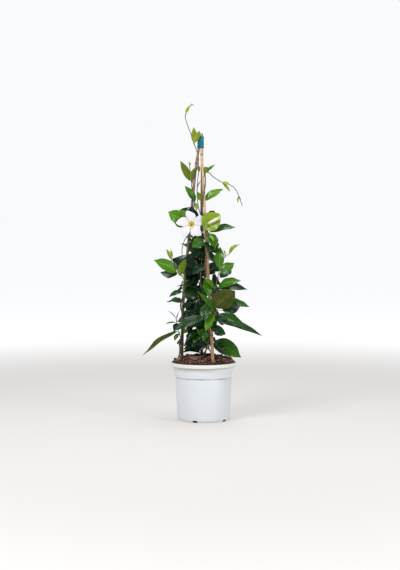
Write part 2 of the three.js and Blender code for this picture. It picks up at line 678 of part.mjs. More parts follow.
// Turns a piece built along +Z, facing +Z, to a centre and a facing direction
function turned(geometry, centre, facing) {
  const turn = new THREE.Quaternion().setFromUnitVectors(new THREE.Vector3(0, 0, 1), vector(facing).normalize());
  return geometry.applyQuaternion(turn).translate(...centre);
}

// One lobe of the flower, flat side out along +Z, as a broad blade with five points across
function lobeGeometry({ angle, reach }) {
  const rings = LOBE_STATIONS.map((t) => {
    const radius = THREE.MathUtils.lerp(FLOWER.mouth - 0.9, reach, t);
    const swell = Math.max(0.06, Math.sin(Math.PI * (0.12 + 0.88 * t) ** 1.15) ** 0.7);
    const [wide, narrow] = [FLOWER.lobeWide * swell, FLOWER.lobeNarrow * swell];
    const sweep = FLOWER.lobeSweep * t * t;
    const section = (rise) => [-wide, -wide / 2, 0, narrow / 2, narrow].map((side) => {
      const twist = side * 0.1 + 5 * Math.sin(Math.PI * t * 0.62) - 3.5 * t * t;
      return new THREE.Vector3(radius, side + sweep, twist + rise * PETAL_HALF_THICKNESS);
    });
    return [...section(1), ...section(-1).reverse()];
  });
  return loft(rings, true).rotateZ(THREE.MathUtils.degToRad(angle));
}

function flowerBody() {
  const { tube, mouth } = FLOWER;
  const profile = [
    [0, -tube], [1.9, -tube], [2.3, -tube + 12], [4.4, -tube + 19], [mouth - 1, -8], [mouth + 0.6, 0],
    [mouth + 1.6, 2.2], [mouth - 0.6, 1.6], [mouth - 2, -8], [3.2, -tube + 20], [0, -tube + 18],
  ];
  const funnel = new THREE.LatheGeometry(profile.map(([r, z]) => new THREE.Vector2(r, z)), FUNNEL_SIDES);
  const pieces = [funnel.rotateX(Math.PI / 2), ...FLOWER.lobes.map(lobeGeometry)];
  return fuse(pieces.map((piece) => solid(faceFront(piece))));
}

// The flower is drawn with its lobes round +Z and its first lobe counted from the right
function faceFront(geometry) {
  geometry.rotateX(Math.PI / 2);
  const turn = new THREE.Quaternion().setFromUnitVectors(
    new THREE.Vector3(0, -1, 0), vector(FLOWER.facing).normalize(),
  );
  return geometry.applyQuaternion(turn).translate(...FLOWER.centre);
}

// The golden lining of the throat, a thin cup just inside the funnel
function throatBody() {
  const { tube, mouth } = FLOWER;
  const profile = [
    [0, -tube + 18.6], [2.4, -tube + 20.6], [mouth - 2.6, -8], [mouth - 1.7, -1.2],
    [mouth - 2.4, -1.2], [mouth - 3.3, -8], [1.7, -tube + 21.2], [0, -tube + 19.4],
  ];
  const cup = new THREE.LatheGeometry(profile.map(([r, z]) => new THREE.Vector2(r, z)), FUNNEL_SIDES);
  return solid(faceFront(cup.rotateX(Math.PI / 2)));
}

function budBody() {
  const [start, end] = [vector(BUD.base), vector(BUD.tip)];
  const length = start.distanceTo(end);
  const stations = [0, 0.12, 0.3, 0.5, 0.68, 0.84, 0.94, 1];
  const rings = stations.map((t) => {
    const swell = Math.max(0.12, Math.sin(Math.PI * (0.06 + 0.9 * t) ** 1.1) ** 0.9);
    return Array.from({ length: 10 }, (_, k) => {
      const angle = (k / 10) * 2 * Math.PI + THREE.MathUtils.degToRad(BUD.twist * t);
      const ridge = k % 2 === 0 ? 1 : 0.78;
      const reach = BUD.radius * swell * ridge;
      return new THREE.Vector3(reach * Math.cos(angle), reach * Math.sin(angle), length * t);
    });
  });
  return solid(turned(loft(rings), BUD.base, end.sub(start).toArray()));
}

const plant = new THREE.Group();
const canes = Object.values(CANES);
const holesForCanes = canes.map((cane) => caneBody(cane, GAP));
const holesForStems = Object.entries(VINES).map(([name, vine]) => {
  const [[x, y, z], ...rest] = stemLines(vine, CANES[name]).main.slice(0, vine.root.length + 2);
  return stemAlong([[x, y, z - GAP], ...rest], STEM_RADIUS + GAP + 0.15);
});

addPiece(plant, 'pot', potBody(), 0xe4e8ee, 0.42);
addPiece(plant, 'soil', soilBody([...holesForCanes, ...holesForStems]), 0x4a2f22, 0.95);
for (const [name, cane] of Object.entries(CANES)) {
  addPiece(plant, `cane_${name}`, caneBody(cane), cane.colour, 0.6);
}
addPiece(plant, 'cane_tie', tieBody(canes, holesForCanes), 0x067078, 0.5);
for (const [name, vine] of Object.entries(VINES)) {
  addPiece(plant, `vine_${name}`, vineBody(vine, CANES[name]), vine.colour, 0.38);
}
addPiece(plant, 'flower_corolla', flowerBody(), 0xf5f2f4, 0.6);
addPiece(plant, 'flower_throat', throatBody(), 0xe0b020, 0.6);
addPiece(plant, 'flower_bud', budBody(), 0xf0dcd2, 0.55);

export default plant;
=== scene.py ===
"""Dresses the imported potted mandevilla: finer foliage, flower, bud, canes, tie, pot and potting mix.

Lengths are in millimetres until a piece is finished, which scales it to metres.
"""

import logging
import math
import random
from bisect import bisect_left
from collections.abc import Callable, Sequence
from dataclasses import dataclass
from enum import Enum
from functools import cache, partial

import bmesh
import bpy
from mathutils import Matrix, Quaternion, Vector, noise

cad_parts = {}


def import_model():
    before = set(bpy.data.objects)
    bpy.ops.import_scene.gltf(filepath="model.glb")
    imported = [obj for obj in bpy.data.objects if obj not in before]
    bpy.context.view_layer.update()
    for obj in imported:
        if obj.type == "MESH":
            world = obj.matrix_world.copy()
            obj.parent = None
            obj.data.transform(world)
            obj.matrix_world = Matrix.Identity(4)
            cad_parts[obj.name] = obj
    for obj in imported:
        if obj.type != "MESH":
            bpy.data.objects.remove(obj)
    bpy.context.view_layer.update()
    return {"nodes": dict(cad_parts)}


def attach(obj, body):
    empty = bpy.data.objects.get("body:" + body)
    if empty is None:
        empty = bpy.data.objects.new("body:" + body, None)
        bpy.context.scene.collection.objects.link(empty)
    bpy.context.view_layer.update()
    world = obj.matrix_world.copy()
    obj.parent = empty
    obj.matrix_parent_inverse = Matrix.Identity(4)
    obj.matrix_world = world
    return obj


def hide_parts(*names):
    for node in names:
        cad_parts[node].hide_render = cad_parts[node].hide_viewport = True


log = logging.getLogger("mandevilla")

MM = 0.001
TURN = 2.0 * math.pi
UP = Vector((0.0, 0.0, 1.0))
GROWTH = "growth"
CREASE = math.radians(50.0)
SHARP = math.radians(24.0)
SIDE_VEINS = 9.0
VEIN_LEAN = 0.2
VEIN_BEND = 0.8
FIRST_SEED = 100

Point = tuple[float, float, float]
Colour = tuple[float, float, float]
Socket = bpy.types.NodeSocket
Material = bpy.types.Material
Mesh = bmesh.types.BMesh

NEUTRAL: Colour = (0.5, 0.5, 0.5)


def smooth_step(low: float, high: float, value: float) -> float:
    """Eases from 0, where the value is low, to 1, where it is high."""
    t = min(1.0, max(0.0, (value - low) / (high - low)))
    return t * t * (3.0 - 2.0 * t)


def mixed(first: float, second: float, share: float) -> float:
    """The number a share of the way from the first to the second."""
    return first + (second - first) * share


def polar(radius: float, angle: float, height: float = 0.0) -> Vector:
    """The point at a radius, an angle and a height."""
    return Vector((radius * math.cos(angle), radius * math.sin(angle), height))


def round_edges(bm: Mesh, edges: list[bmesh.types.BMEdge], offset: float) -> None:
    """Rounds edges with a bevel that starts this far from them."""
    bmesh.ops.bevel(bm, geom=edges, offset=offset, segments=3, profile=0.5, affect="EDGES", material=-1)


class SmoothLine:
    """A centripetal curve through given points."""

    DIVISIONS = 200

    def __init__(self, points: Sequence[Sequence[float]]) -> None:
        """Stores the points and measures the curve.

        Args:
            points: The points that the curve passes through.
        """
        self.points = [Vector(p) for p in points]
        self.lengths = [0.0]
        last = self.at(0.0)
        for n in range(1, self.DIVISIONS + 1):
            here = self.at(n / self.DIVISIONS)
            self.lengths.append(self.lengths[-1] + (here - last).length)
            last = here

    def at(self, t: float) -> Vector:
        """The point at a share of the curve's own parameter.

        Args:
            t: Parameter from 0 to 1.

        Returns:
            The point.
        """
        pts = self.points
        spot = (len(pts) - 1) * t
        n = min(int(spot), len(pts) - 2)
        weight = spot - n
        p1, p2 = pts[n], pts[n + 1]
        p0 = pts[n - 1] if n > 0 else 2.0 * pts[0] - pts[1]
        p3 = pts[n + 2] if n + 2 < len(pts) else 2.0 * pts[-1] - pts[-2]
        d1 = (p2 - p1).length ** 0.5 or 1.0
        d0 = (p1 - p0).length ** 0.5 or d1
        d2 = (p3 - p2).length ** 0.5 or d1
        m1 = ((p1 - p0) / d0 - (p2 - p0) / (d0 + d1) + (p2 - p1) / d1) * d1
        m2 = ((p2 - p1) / d1 - (p3 - p1) / (d1 + d2) + (p3 - p2) / d2) * d1
        square, cube = weight**2, weight**3
        return (
            (2.0 * cube - 3.0 * square + 1.0) * p1
            + (cube - 2.0 * square + weight) * m1
            + (3.0 * square - 2.0 * cube) * p2
            + (cube - square) * m2
        )

    def spaced(self, step: float) -> list[Vector]:
        """Points at even steps along the curve.

        Args:
            step: The largest step.

        Returns:
            The points, ends included.
        """
        count = max(2, math.ceil(self.lengths[-1] / step))
        found = []
        for k in range(count + 1):
            wanted = self.lengths[-1] * k / count
            n = min(max(bisect_left(self.lengths, wanted), 1), self.DIVISIONS)
            low, high = self.lengths[n - 1], self.lengths[n]
            part = (wanted - low) / (high - low) if high > low else 0.0
            found.append(self.at((n - 1 + part) / self.DIVISIONS))
        return found


def carried_frames(points: Sequence[Vector]) -> list[tuple[Vector, Vector]]:
    """Cross directions along a line that twist as little as can be.

    Args:
        points: The line's points.

    Returns:
        A pair of cross directions for each point.
    """
    ways = []
    for n in range(len(points)):
        ahead, behind = points[min(n + 1, len(points) - 1)], points[max(n - 1, 0)]
        ways.append((ahead - behind).normalized())
    first = Vector((1, 0, 0)) if abs(ways[0].x) < 0.8 else Vector((0, 1, 0))
    across = (first - first.dot(ways[0]) * ways[0]).normalized()
    frames = []
    for n, way in enumerate(ways):
        if n:
            across = ways[n - 1].rotation_difference(way) @ across
            across = (across - across.dot(way) * way).normalized()
        frames.append((across, way.cross(across)))
    return frames


class Shape:
    """Gathers small meshes into one piece. Each point has a growth colour for its finish."""

    def __init__(self, name: str) -> None:
        """Starts an empty mesh for the piece of this name."""
        self.name = name
        self.bm = self.fresh()

    @staticmethod
    def fresh() -> Mesh:
        """Starts a small mesh.

        Returns:
            An empty mesh with the layers that every piece has.
        """
        bm = bmesh.new()
        bm.verts.layers.float_color.new(GROWTH)
        bm.loops.layers.uv.new("UVMap")
        return bm

    def take(self, bm: Mesh) -> None:
        """Adds a small mesh and frees it.

        Args:
            bm: The mesh, which has the same layers.
        """
        mesh = bpy.data.meshes.new("part")
        bm.to_mesh(mesh)
        bm.free()
        self.bm.from_mesh(mesh)
        bpy.data.meshes.remove(mesh)

    def paint(self, bm: Mesh, colour: Colour) -> None:
        """Gives a small mesh one growth colour.

        Args:
            bm: The mesh.
            colour: The growth colour.
        """
        layer = bm.verts.layers.float_color[GROWTH]
        for vert in bm.verts:
            vert[layer] = (*colour, 1.0)

    def sheet(
        self,
        sides: int,
        rows: int,
        place: Callable[[float, float], Vector],
        tint: Callable[[float, float], Colour] = lambda across, along: NEUTRAL,
        slot: Callable[[float], int] = lambda across: 0,
        chart: Callable[[float], float] = lambda across: across,
    ) -> None:
        """Adds a grid that is bent to a closed form, round and along.

        Args:
            sides: Faces round the form.
            rows: Faces along it.
            place: Gives the point for shares round and along.
            tint: Gives the growth colour for shares round and along.
            slot: Gives a face's material slot for its share round.
            chart: Gives the map's first coordinate for a share round.
        """
        bm = self.fresh()
        bmesh.ops.create_grid(bm, x_segments=sides, y_segments=rows, size=0.5)
        layer = bm.verts.layers.float_color[GROWTH]
        uv = bm.loops.layers.uv["UVMap"]
        for face in bm.faces:
            face.material_index = slot(face.calc_center_median().x + 0.5)
            face.smooth = True
            for loop in face.loops:
                loop[uv].uv = (chart(loop.vert.co.x + 0.5), loop.vert.co.y + 0.5)
        for vert in bm.verts:
            across, along = vert.co.x + 0.5, vert.co.y + 0.5
            vert[layer] = (*tint(across, along), 1.0)
            vert.co = place(across, along)
        bmesh.ops.remove_doubles(bm, verts=bm.verts[:], dist=1e-4)
        bmesh.ops.recalc_face_normals(bm, faces=bm.faces[:])
        self.take(bm)

    def tube(
        self,
        points: Sequence[Vector],
        radii: Sequence[float],
        sides: int,
        tints: Sequence[Colour],
    ) -> None:
        """Adds a round stem along a line, closed at both ends.

        Args:
            points: The line's points.
            radii: The radius at each point.
            sides: Faces round the stem.
            tints: The growth colour at each point.
        """
        rings = list(zip(points, radii, carried_frames(points), tints))
        rings = [(points[0], 0.0, *rings[0][2:]), *rings, (points[-1], 0.0, *rings[-1][2:])]
        last = len(rings) - 1

        def place(across: float, along: float) -> Vector:
            """The point on the stem's skin."""
            centre, radius, (one, two), _ = rings[round(along * last)]
            return centre + radius * (math.cos(across * TURN) * one + math.sin(across * TURN) * two)

        self.sheet(sides, last, place, lambda across, along: rings[round(along * last)][3])

    def blade(
        self,
        sides: int,
        rows: int,
        point: Callable[[float, float, float], Vector],
        colour: Colour = NEUTRAL,
        faces: tuple[int, int] = (0, 0),
    ) -> None:
        """Adds a thin blade, whose front and back meet at its edge.

        Args:
            sides: Faces round it.
            rows: Faces along it.
            point: Gives the point from -1 to 1 across, from 0 to 1 along, and 1 in front or -1 behind.
            colour: Its growth colour.
            faces: The material slots of its front and its back.
        """

        def across(share: float) -> float:
            """From edge to edge over the front, then back behind."""
            return 4.0 * share - 1.0 if share <= 0.5 else 3.0 - 4.0 * share

        self.sheet(
            sides,
            rows,
            lambda share, along: point(across(share), along, 1.0 if share < 0.5 else -1.0),
            lambda share, along: colour,
            lambda share: faces[0] if share < 0.5 else faces[1],
            lambda share: (across(share) + 1.0) / 2.0,
        )

    def lathe(
        self,
        profile: Sequence[tuple[float, float]],
        steps: int,
        bevel: float = 0.0,
        slot: int = 0,
    ) -> Mesh:
        """Spins a profile round the z axis.

        Args:
            profile: Radius and height of each corner, from axis to axis.
            steps: Faces round.
            bevel: How far its sharp rings are rounded.
            slot: The material slot.

        Returns:
            The spun mesh, not yet added.
        """
        bm = self.fresh()
        verts = [bm.verts.new((radius, 0.0, z)) for radius, z in profile]
        edges = [bm.edges.new(pair) for pair in zip(verts, verts[1:])]
        line = verts + edges
        bmesh.ops.spin(bm, geom=line, axis=UP, cent=(0, 0, 0), angle=TURN, steps=steps, use_merge=True)
        bmesh.ops.remove_doubles(bm, verts=bm.verts[:], dist=1e-3)
        bmesh.ops.recalc_face_normals(bm, faces=bm.faces[:])
        if bevel:
            round_edges(bm, [e for e in bm.edges if e.is_manifold and e.calc_face_angle() > SHARP], bevel)
        for face in bm.faces:
            face.smooth = True
            face.material_index = slot
        return bm

    def finish(self, *materials: Material) -> bpy.types.Object:
        """Makes the object, in metres.

        Args:
            *materials: The materials of its slots.

        Returns:
            The object, at the origin.
        """
        for edge in self.bm.edges:
            if edge.is_manifold and edge.calc_face_angle() > CREASE:
                edge.smooth = False
        bmesh.ops.scale(self.bm, vec=(MM, MM, MM), verts=self.bm.verts[:])
        mesh = bpy.data.meshes.new(self.name)
        self.bm.to_mesh(mesh)
        self.bm.free()
        for material in materials:
            mesh.materials.append(material)
        piece = bpy.data.objects.new(self.name, mesh)
        bpy.context.scene.collection.objects.link(piece)
        return piece


def seat(piece: bpy.types.Object, slot: str, *nodes: str) -> None:
    """Puts a finished piece in the place of the nodes that it stands for.

    Args:
        piece: The finished piece.
        slot: The record's material slot; not used.
        *nodes: The nodes that it replaces.
    """
    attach(piece, "root")
    if nodes:
        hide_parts(*nodes)
    piece.data.calc_loop_triangles()
    log.info("%s: %d triangles", piece.name, len(piece.data.loop_triangles))


class Graph:
    """A material's nodes, added by short calls."""

    def __init__(self, name: str) -> None:
        """Starts a material that holds one surface shader.

        Args:
            name: The material's name.
        """
        self.material = bpy.data.materials.new(name)
        self.material.use_nodes = True
        self.tree = self.material.node_tree
        self.tree.nodes.clear()
        self.shader = self.tree.nodes.new("ShaderNodeBsdfPrincipled")
        output = self.tree.nodes.new("ShaderNodeOutputMaterial")
        self.tree.links.new(self.shader.outputs["BSDF"], output.inputs["Surface"])

    def put(self, socket: Socket, value: object) -> None:
        """Links a socket to an output, or sets its value.

        Args:
            socket: The input socket.
            value: An output socket, a number or a colour.
        """
        if isinstance(value, Socket):
            self.tree.links.new(value, socket)
        elif socket.type == "RGBA":
            socket.default_value = (*value[:3], 1.0)
        else:
            socket.default_value = value

    def add(
        self,
        kind: str,
        inputs: dict[str | int, object] | None = None,
        **settings: object,
    ) -> bpy.types.Node:
        """Adds a node.

        Args:
            kind: The node's type without its first word.
            inputs: Values or outputs for its sockets.
            **settings: Its properties.

        Returns:
            The node.
        """
        node = self.tree.nodes.new("ShaderNode" + kind)
        for key, value in settings.items():
            setattr(node, key, value)
        for key, value in (inputs or {}).items():
            self.put(node.inputs[key], value)
        return node

    def reckon(self, operation: str, first: object, second: object = 0.0) -> Socket:
        """The named reckoning of two numbers."""
        return self.add("Math", {0: first, 1: second}, operation=operation).outputs[0]

    def plus(self, first: object, second: object) -> Socket:
        """The first number with the second added."""
        return self.reckon("ADD", first, second)

    def minus(self, first: object, second: object) -> Socket:
        """The first number with the second taken away."""
        return self.reckon("SUBTRACT", first, second)

    def times(self, first: object, second: object) -> Socket:
        """The two numbers multiplied."""
        return self.reckon("MULTIPLY", first, second)

    def ease(self, value: object, low: float, high: float, start: float = 0.0, end: float = 1.0) -> Socket:
        """Eases a value from one range, low to high, to another, start to end."""
        inputs = {"Value": value, "From Min": low, "From Max": high, "To Min": start, "To Max": end}
        return self.add("MapRange", inputs, interpolation_type="SMOOTHSTEP").outputs["Result"]

    def blend(self, share: object, first: object, second: object, how: str = "MIX") -> Socket:
        """Mixes two colours.

        Args:
            share: The share of the second.
            first: The first colour.
            second: The second colour.
            how: The way of mixing.

        Returns:
            The mixed colour's socket.
        """
        node = self.add("Mix", data_type="RGBA", blend_type=how)
        for index, value in ((0, share), (6, first), (7, second)):
            self.put(node.inputs[index], value)
        return node.outputs[2]

    def ramp(self, value: object, stops: Sequence[tuple[float, Colour]]) -> Socket:
        """A colour that changes with a number.

        Args:
            value: The number or output.
            stops: Places from 0 to 1 with their colours.

        Returns:
            The colour's socket.
        """
        node = self.add("ValToRGB", {0: value})
        marks = node.color_ramp.elements
        while len(marks) < len(stops):
            marks.new(0.5)
        for mark, (place, colour) in zip(marks, stops):
            mark.position = place
            mark.color = (*colour, 1.0)
        return node.outputs["Color"]

    def cloud(self, scale: float, detail: float = 3.0, stretch: Point = (1.0, 1.0, 1.0)) -> Socket:
        """A cloudy pattern on the piece's own place.

        Args:
            scale: How fine it is, per metre.
            detail: How many finer layers it has.
            stretch: Its fineness along each axis.

        Returns:
            The pattern's socket, about 0.5 on average.
        """
        spot = self.add("TexCoord").outputs["Object"]
        spot = self.add("Mapping", {"Vector": spot, "Scale": stretch}).outputs["Vector"]
        inputs = {"Vector": spot, "Scale": scale, "Detail": detail, "Roughness": 0.55}
        return self.add("TexNoise", inputs).outputs[0]

    def height(self) -> Socket:
        """The height above the ground, in metres."""
        return self.add("SeparateXYZ", {0: self.add("TexCoord").outputs["Object"]}).outputs["Z"]

    def growth(self) -> bpy.types.Node:
        """The growth colour's red, green and blue."""
        colour = self.add("Attribute", attribute_name=GROWTH).outputs["Color"]
        return self.add("SeparateColor", {"Color": colour})

    def chart(self) -> bpy.types.Node:
        """The piece's own map, as X round and Y along."""
        return self.add("SeparateXYZ", {0: self.add("UVMap", uv_map="UVMap").outputs[0]})

    def relief(self, height: object, strength: float, distance: float) -> None:
        """Gives the surface a fine relief, whose height of 1 stands for a distance in metres."""
        bump = self.add("Bump", {"Height": height, "Strength": strength, "Distance": distance})
        self.put(self.shader.inputs["Normal"], bump.outputs["Normal"])

    def finish(self, colour: object, roughness: object, **sockets: float) -> Material:
        """Dresses the shader.

        Args:
            colour: The base colour.
            roughness: The roughness.
            **sockets: Other sockets, with _ for a space.

        Returns:
            The material.
        """
        self.put(self.shader.inputs["Base Color"], colour)
        self.put(self.shader.inputs["Roughness"], roughness)
        for name, value in sockets.items():
            self.shader.inputs[name.replace("_", " ")].default_value = value
        return self.material


@dataclass(frozen=True)
class LeafFinish:
    """The waxy upper face or the dull under face of a leaf.

    Attributes:
        name: The material's name.
        ages: Colours from the youngest leaf to the oldest.
        gloss: Roughness of the smoothest spots.
        vein: Colour of the veins.
        vein_share: How strongly the veins show.
        pillow: Height of the swellings between side veins, in metres.
        shine: How strongly it mirrors light.
    """

    name: str
    ages: tuple[tuple[float, Colour], ...]
    gloss: float
    vein: Colour
    vein_share: float
    pillow: float
    shine: float

    def material(self) -> Material:
        """Builds the material.

        Returns:
            The leaf material, which reads the blade's map and its growth colour.
        """
        g = Graph(self.name)
        growth, place = g.growth(), g.chart()
        wide = g.reckon("ABSOLUTE", g.minus(g.times(place.outputs["X"], 2.0), 1.0))
        lean = g.minus(place.outputs["Y"], g.times(g.reckon("POWER", wide, VEIN_BEND), VEIN_LEAN))
        wobble = g.times(g.cloud(120.0, 2.0), 0.06)
        phase = g.reckon("FRACT", g.times(g.plus(lean, wobble), SIDE_VEINS))
        off = g.reckon("ABSOLUTE", g.minus(phase, 0.5))
        side_vein = g.times(g.ease(off, 0.41, 0.5), g.ease(wide, 0.6, 1.0, 0.45, 0.0))
        midrib = g.ease(wide, 0.02, 0.085, 1.0, 0.0)
        veins = g.reckon("MAXIMUM", side_vein, midrib)
        patches = g.cloud(55.0, 2.0)
        shift = g.times(g.minus(patches, 0.5), 0.24)
        base = g.ramp(g.plus(growth.outputs["Red"], shift), self.ages)
        warm = g.blend(g.times(growth.outputs["Green"], 0.5), base, (1.0, 0.92, 0.6), "MULTIPLY")
        pale = g.blend(g.ease(growth.outputs["Red"], 0.1, 0.9, 0.5, 0.02), base, self.vein)
        colour = g.blend(g.times(veins, self.vein_share), warm, pale)
        colour = g.blend(g.ease(wide, 0.94, 1.0, 0.0, 0.3), colour, pale)
        swell = g.minus(1.0, g.reckon("POWER", g.times(off, 2.0), 2.0))
        height = g.minus(g.times(swell, 0.3), midrib)
        height = g.plus(height, g.times(g.cloud(300.0, 2.0), 0.03))
        g.relief(height, 0.25, self.pillow)
        rough = g.plus(self.gloss, g.times(patches, 0.12))
        return g.finish(colour, rough, Specular_IOR_Level=self.shine)


@dataclass(frozen=True)
class StemFinish:
    """The skin of stems and stalks, green at the tips and woody at the foot."""

    name: str = "vine_stem"
    gloss: float = 0.42
    woodiness: tuple[tuple[float, Colour], ...] = (
        (0.00, (0.260, 0.320, 0.060)),
        (0.28, (0.130, 0.155, 0.045)),
        (0.50, (0.085, 0.078, 0.045)),
        (0.75, (0.105, 0.092, 0.042)),
        (1.00, (0.090, 0.052, 0.030)),
    )

    def material(self) -> Material:
        """Builds the material, which reads the growth colour's blue.

        Returns:
            The material.
        """
        g = Graph(self.name)
        streak = g.cloud(260.0, 4.0, (1.0, 1.0, 0.25))
        shift = g.times(g.minus(streak, 0.5), 0.4)
        colour = g.ramp(g.plus(g.growth().outputs["Blue"], shift), self.woodiness)
        speck = g.ease(g.cloud(900.0, 1.0), 0.62, 0.70, 0.0, 0.15)
        colour = g.blend(speck, colour, (0.24, 0.20, 0.11))
        g.relief(streak, 0.5, 0.0004)
        return g.finish(colour, g.plus(self.gloss, g.times(streak, 0.2)))


@dataclass(frozen=True)
class CaneFinish:
    """The skin of a bamboo cane.

    Attributes:
        name: The material's name.
        bands: Colours from the foot to the top, each with its height in metres.
        scar: Colour at the joints and of the specks.
    """

    name: str
    bands: tuple[tuple[float, Colour], ...]
    scar: Colour

    TOP = 0.75

    def material(self) -> Material:
        """Builds the material, whose growth colour's red marks the joints.

        Returns:
            The material.
        """
        g = Graph(self.name)
        streak = g.cloud(900.0, 4.0, (1.0, 1.0, 0.02))
        cloud = g.cloud(28.0, 4.0)
        shade = g.plus(g.times(streak, 0.7), g.times(cloud, 0.5))
        height = g.plus(g.height(), g.times(g.minus(cloud, 0.5), 0.09))
        stops = [(z / self.TOP, colour) for z, colour in self.bands]
        tone = g.ramp(g.reckon("DIVIDE", height, self.TOP), stops)
        dark = g.blend(1.0, tone, (0.42, 0.37, 0.34), "MULTIPLY")
        colour = g.blend(g.ease(shade, 0.40, 0.72), dark, tone)
        colour = g.blend(g.growth().outputs["Red"], colour, self.scar)
        colour = g.blend(g.ease(g.cloud(380.0, 2.0), 0.64, 0.72, 0.0, 0.25), colour, self.scar)
        g.relief(streak, 0.35, 0.0003)
        return g.finish(colour, g.plus(0.3, g.times(cloud, 0.25)))


@dataclass(frozen=True)
class PotFinish:
    """The pale moulded plastic of the pot, with soil crumbs on its rim, dirt and painted shade in its groove,
    and a painted shadow under the lip.

    Its bands are heights in metres, between which the rim's colour, the crumbs, the groove's dirt and painted
    shade, and the painted shadow under the lip come and go.
    """

    name: str = "pot_plastic"
    body: Colour = (0.76, 0.79, 0.82)
    rim: Colour = (0.86, 0.83, 0.78)
    # soil crumbs on the rim, and dirt with painted shade in the groove
    dirt_and_groove_shade: Colour = (0.20, 0.20, 0.20)
    # colour of the painted shadow under the lip
    shade: Colour = (0.40, 0.41, 0.38)
    bluish: Colour = (0.68, 0.73, 0.80)

    RIM_BAND = (0.132, 0.143)
    CRUMB_BAND = (0.138, 0.150)
    # heights of the groove, which takes dirt with painted shade
    GROOVE_BANDS = (0.1085, 0.111), (0.1125, 0.115)
    # heights where the painted shadow under the lip fades in and out
    LIP_SHADOW_BANDS = (0.1355, 0.1390), (0.1400, 0.1435)

    def material(self) -> Material:
        """Builds the material.

        Returns:
            The material.
        """
        g = Graph(self.name)
        height = g.height()
        grain = g.cloud(1400.0, 2.0)
        flow = g.cloud(18.0, 3.0, (1.0, 1.0, 0.3))
        body = g.blend(g.times(flow, 0.15), self.body, self.bluish)
        colour = g.blend(g.ease(height, *self.RIM_BAND), body, self.rim)
        # Dirt with painted shade in the groove at the foot of the collar; soil crumbs on the rim.
        low, high = self.GROOVE_BANDS
        groove = g.times(g.ease(height, *low), g.ease(height, *high, 1.0, 0.0))
        groove_dirt_and_shade = g.times(groove, g.ease(g.cloud(40.0, 4.0), 0.38, 0.62, 0.25, 0.5))
        crumbs = g.times(g.ease(height, *self.CRUMB_BAND), g.ease(g.cloud(260.0, 3.0), 0.60, 0.70, 0.0, 0.5))
        colour = g.blend(g.reckon("MAXIMUM", groove_dirt_and_shade, crumbs), colour, self.dirt_and_groove_shade)
        # Painted shadow under the lip, on the top of the collar and the lip's lower edge.
        low, high = self.LIP_SHADOW_BANDS
        under = g.times(g.ease(height, *low), g.ease(height, *high, 0.65, 0.0))
        colour = g.blend(under, colour, self.shade)
        scuff = g.ease(g.cloud(70.0, 5.0, (1.0, 1.0, 4.0)), 0.52, 0.75, 0.0, 0.12)
        g.relief(g.plus(grain, g.times(flow, 2.0)), 0.25, 0.0002)
        return g.finish(colour, g.plus(0.34, scuff))

    def shadow(self) -> Material:
        """Builds the painted shadow in the notches: near-black plastic with a faint mottle.

        Returns:
            The material.
        """
        g = Graph("pot_notch_shadow")
        # A faint mottle in the near-black painted shadow.
        shadow_mottle = g.ease(g.cloud(160.0, 4.0), 0.35, 0.65)
        return g.finish(g.blend(shadow_mottle, (0.006, 0.006, 0.007), (0.016, 0.015, 0.014)), 0.9)


@dataclass(frozen=True)
class MixFinish:
    """Bark, peat and coir, each bit with its own tone from the growth colour's red; the darkest tone is also
    the painted shadow low in the pot.
    """

    name: str
    shades: tuple[tuple[float, Colour], ...] = (
        (0.00, (0.008, 0.004, 0.004)),
        (0.30, (0.040, 0.016, 0.012)),
        (0.60, (0.170, 0.066, 0.044)),
        (0.85, (0.300, 0.145, 0.105)),
        (1.00, (0.400, 0.240, 0.160)),
    )
    moss: Colour = (0.160, 0.170, 0.030)

    def material(self) -> Material:
        """Builds the material.

        Returns:
            The material.
        """
        g = Graph(self.name)
        grain = g.cloud(420.0, 5.0)
        shift = g.times(g.minus(grain, 0.5), 0.5)
        growth = g.growth()
        colour = g.ramp(g.plus(growth.outputs["Red"], shift), self.shades)
        colour = g.blend(g.ease(growth.outputs["Green"], 0.91, 0.95, 0.0, 0.75), colour, self.moss)
        g.relief(grain, 0.9, 0.0012)
        return g.finish(colour, 0.88)


@dataclass(frozen=True)
class TapeFinish:
    """The stretched tape that ties the canes."""

    name: str = "tie_tape"
    light: Colour = (0.000, 0.210, 0.260)
    dark: Colour = (0.000, 0.075, 0.105)

    def material(self) -> Material:
        """Builds the material.

        Returns:
            The material.
        """
        g = Graph(self.name)
        creases = g.cloud(140.0, 3.0, (1.0, 1.0, 2.5))
        colour = g.blend(g.ease(creases, 0.35, 0.65), self.dark, self.light)
        # Painted shade at each lap's edge, where one lap goes under the next.
        colour = g.blend(g.ease(g.growth().outputs["Red"], 0.75, 1.0, 0.0, 0.6), colour, self.dark)
        g.relief(creases, 0.5, 0.0005)
        rough = g.plus(0.36, g.times(creases, 0.2))
        return g.finish(colour, rough, Specular_IOR_Level=0.25)


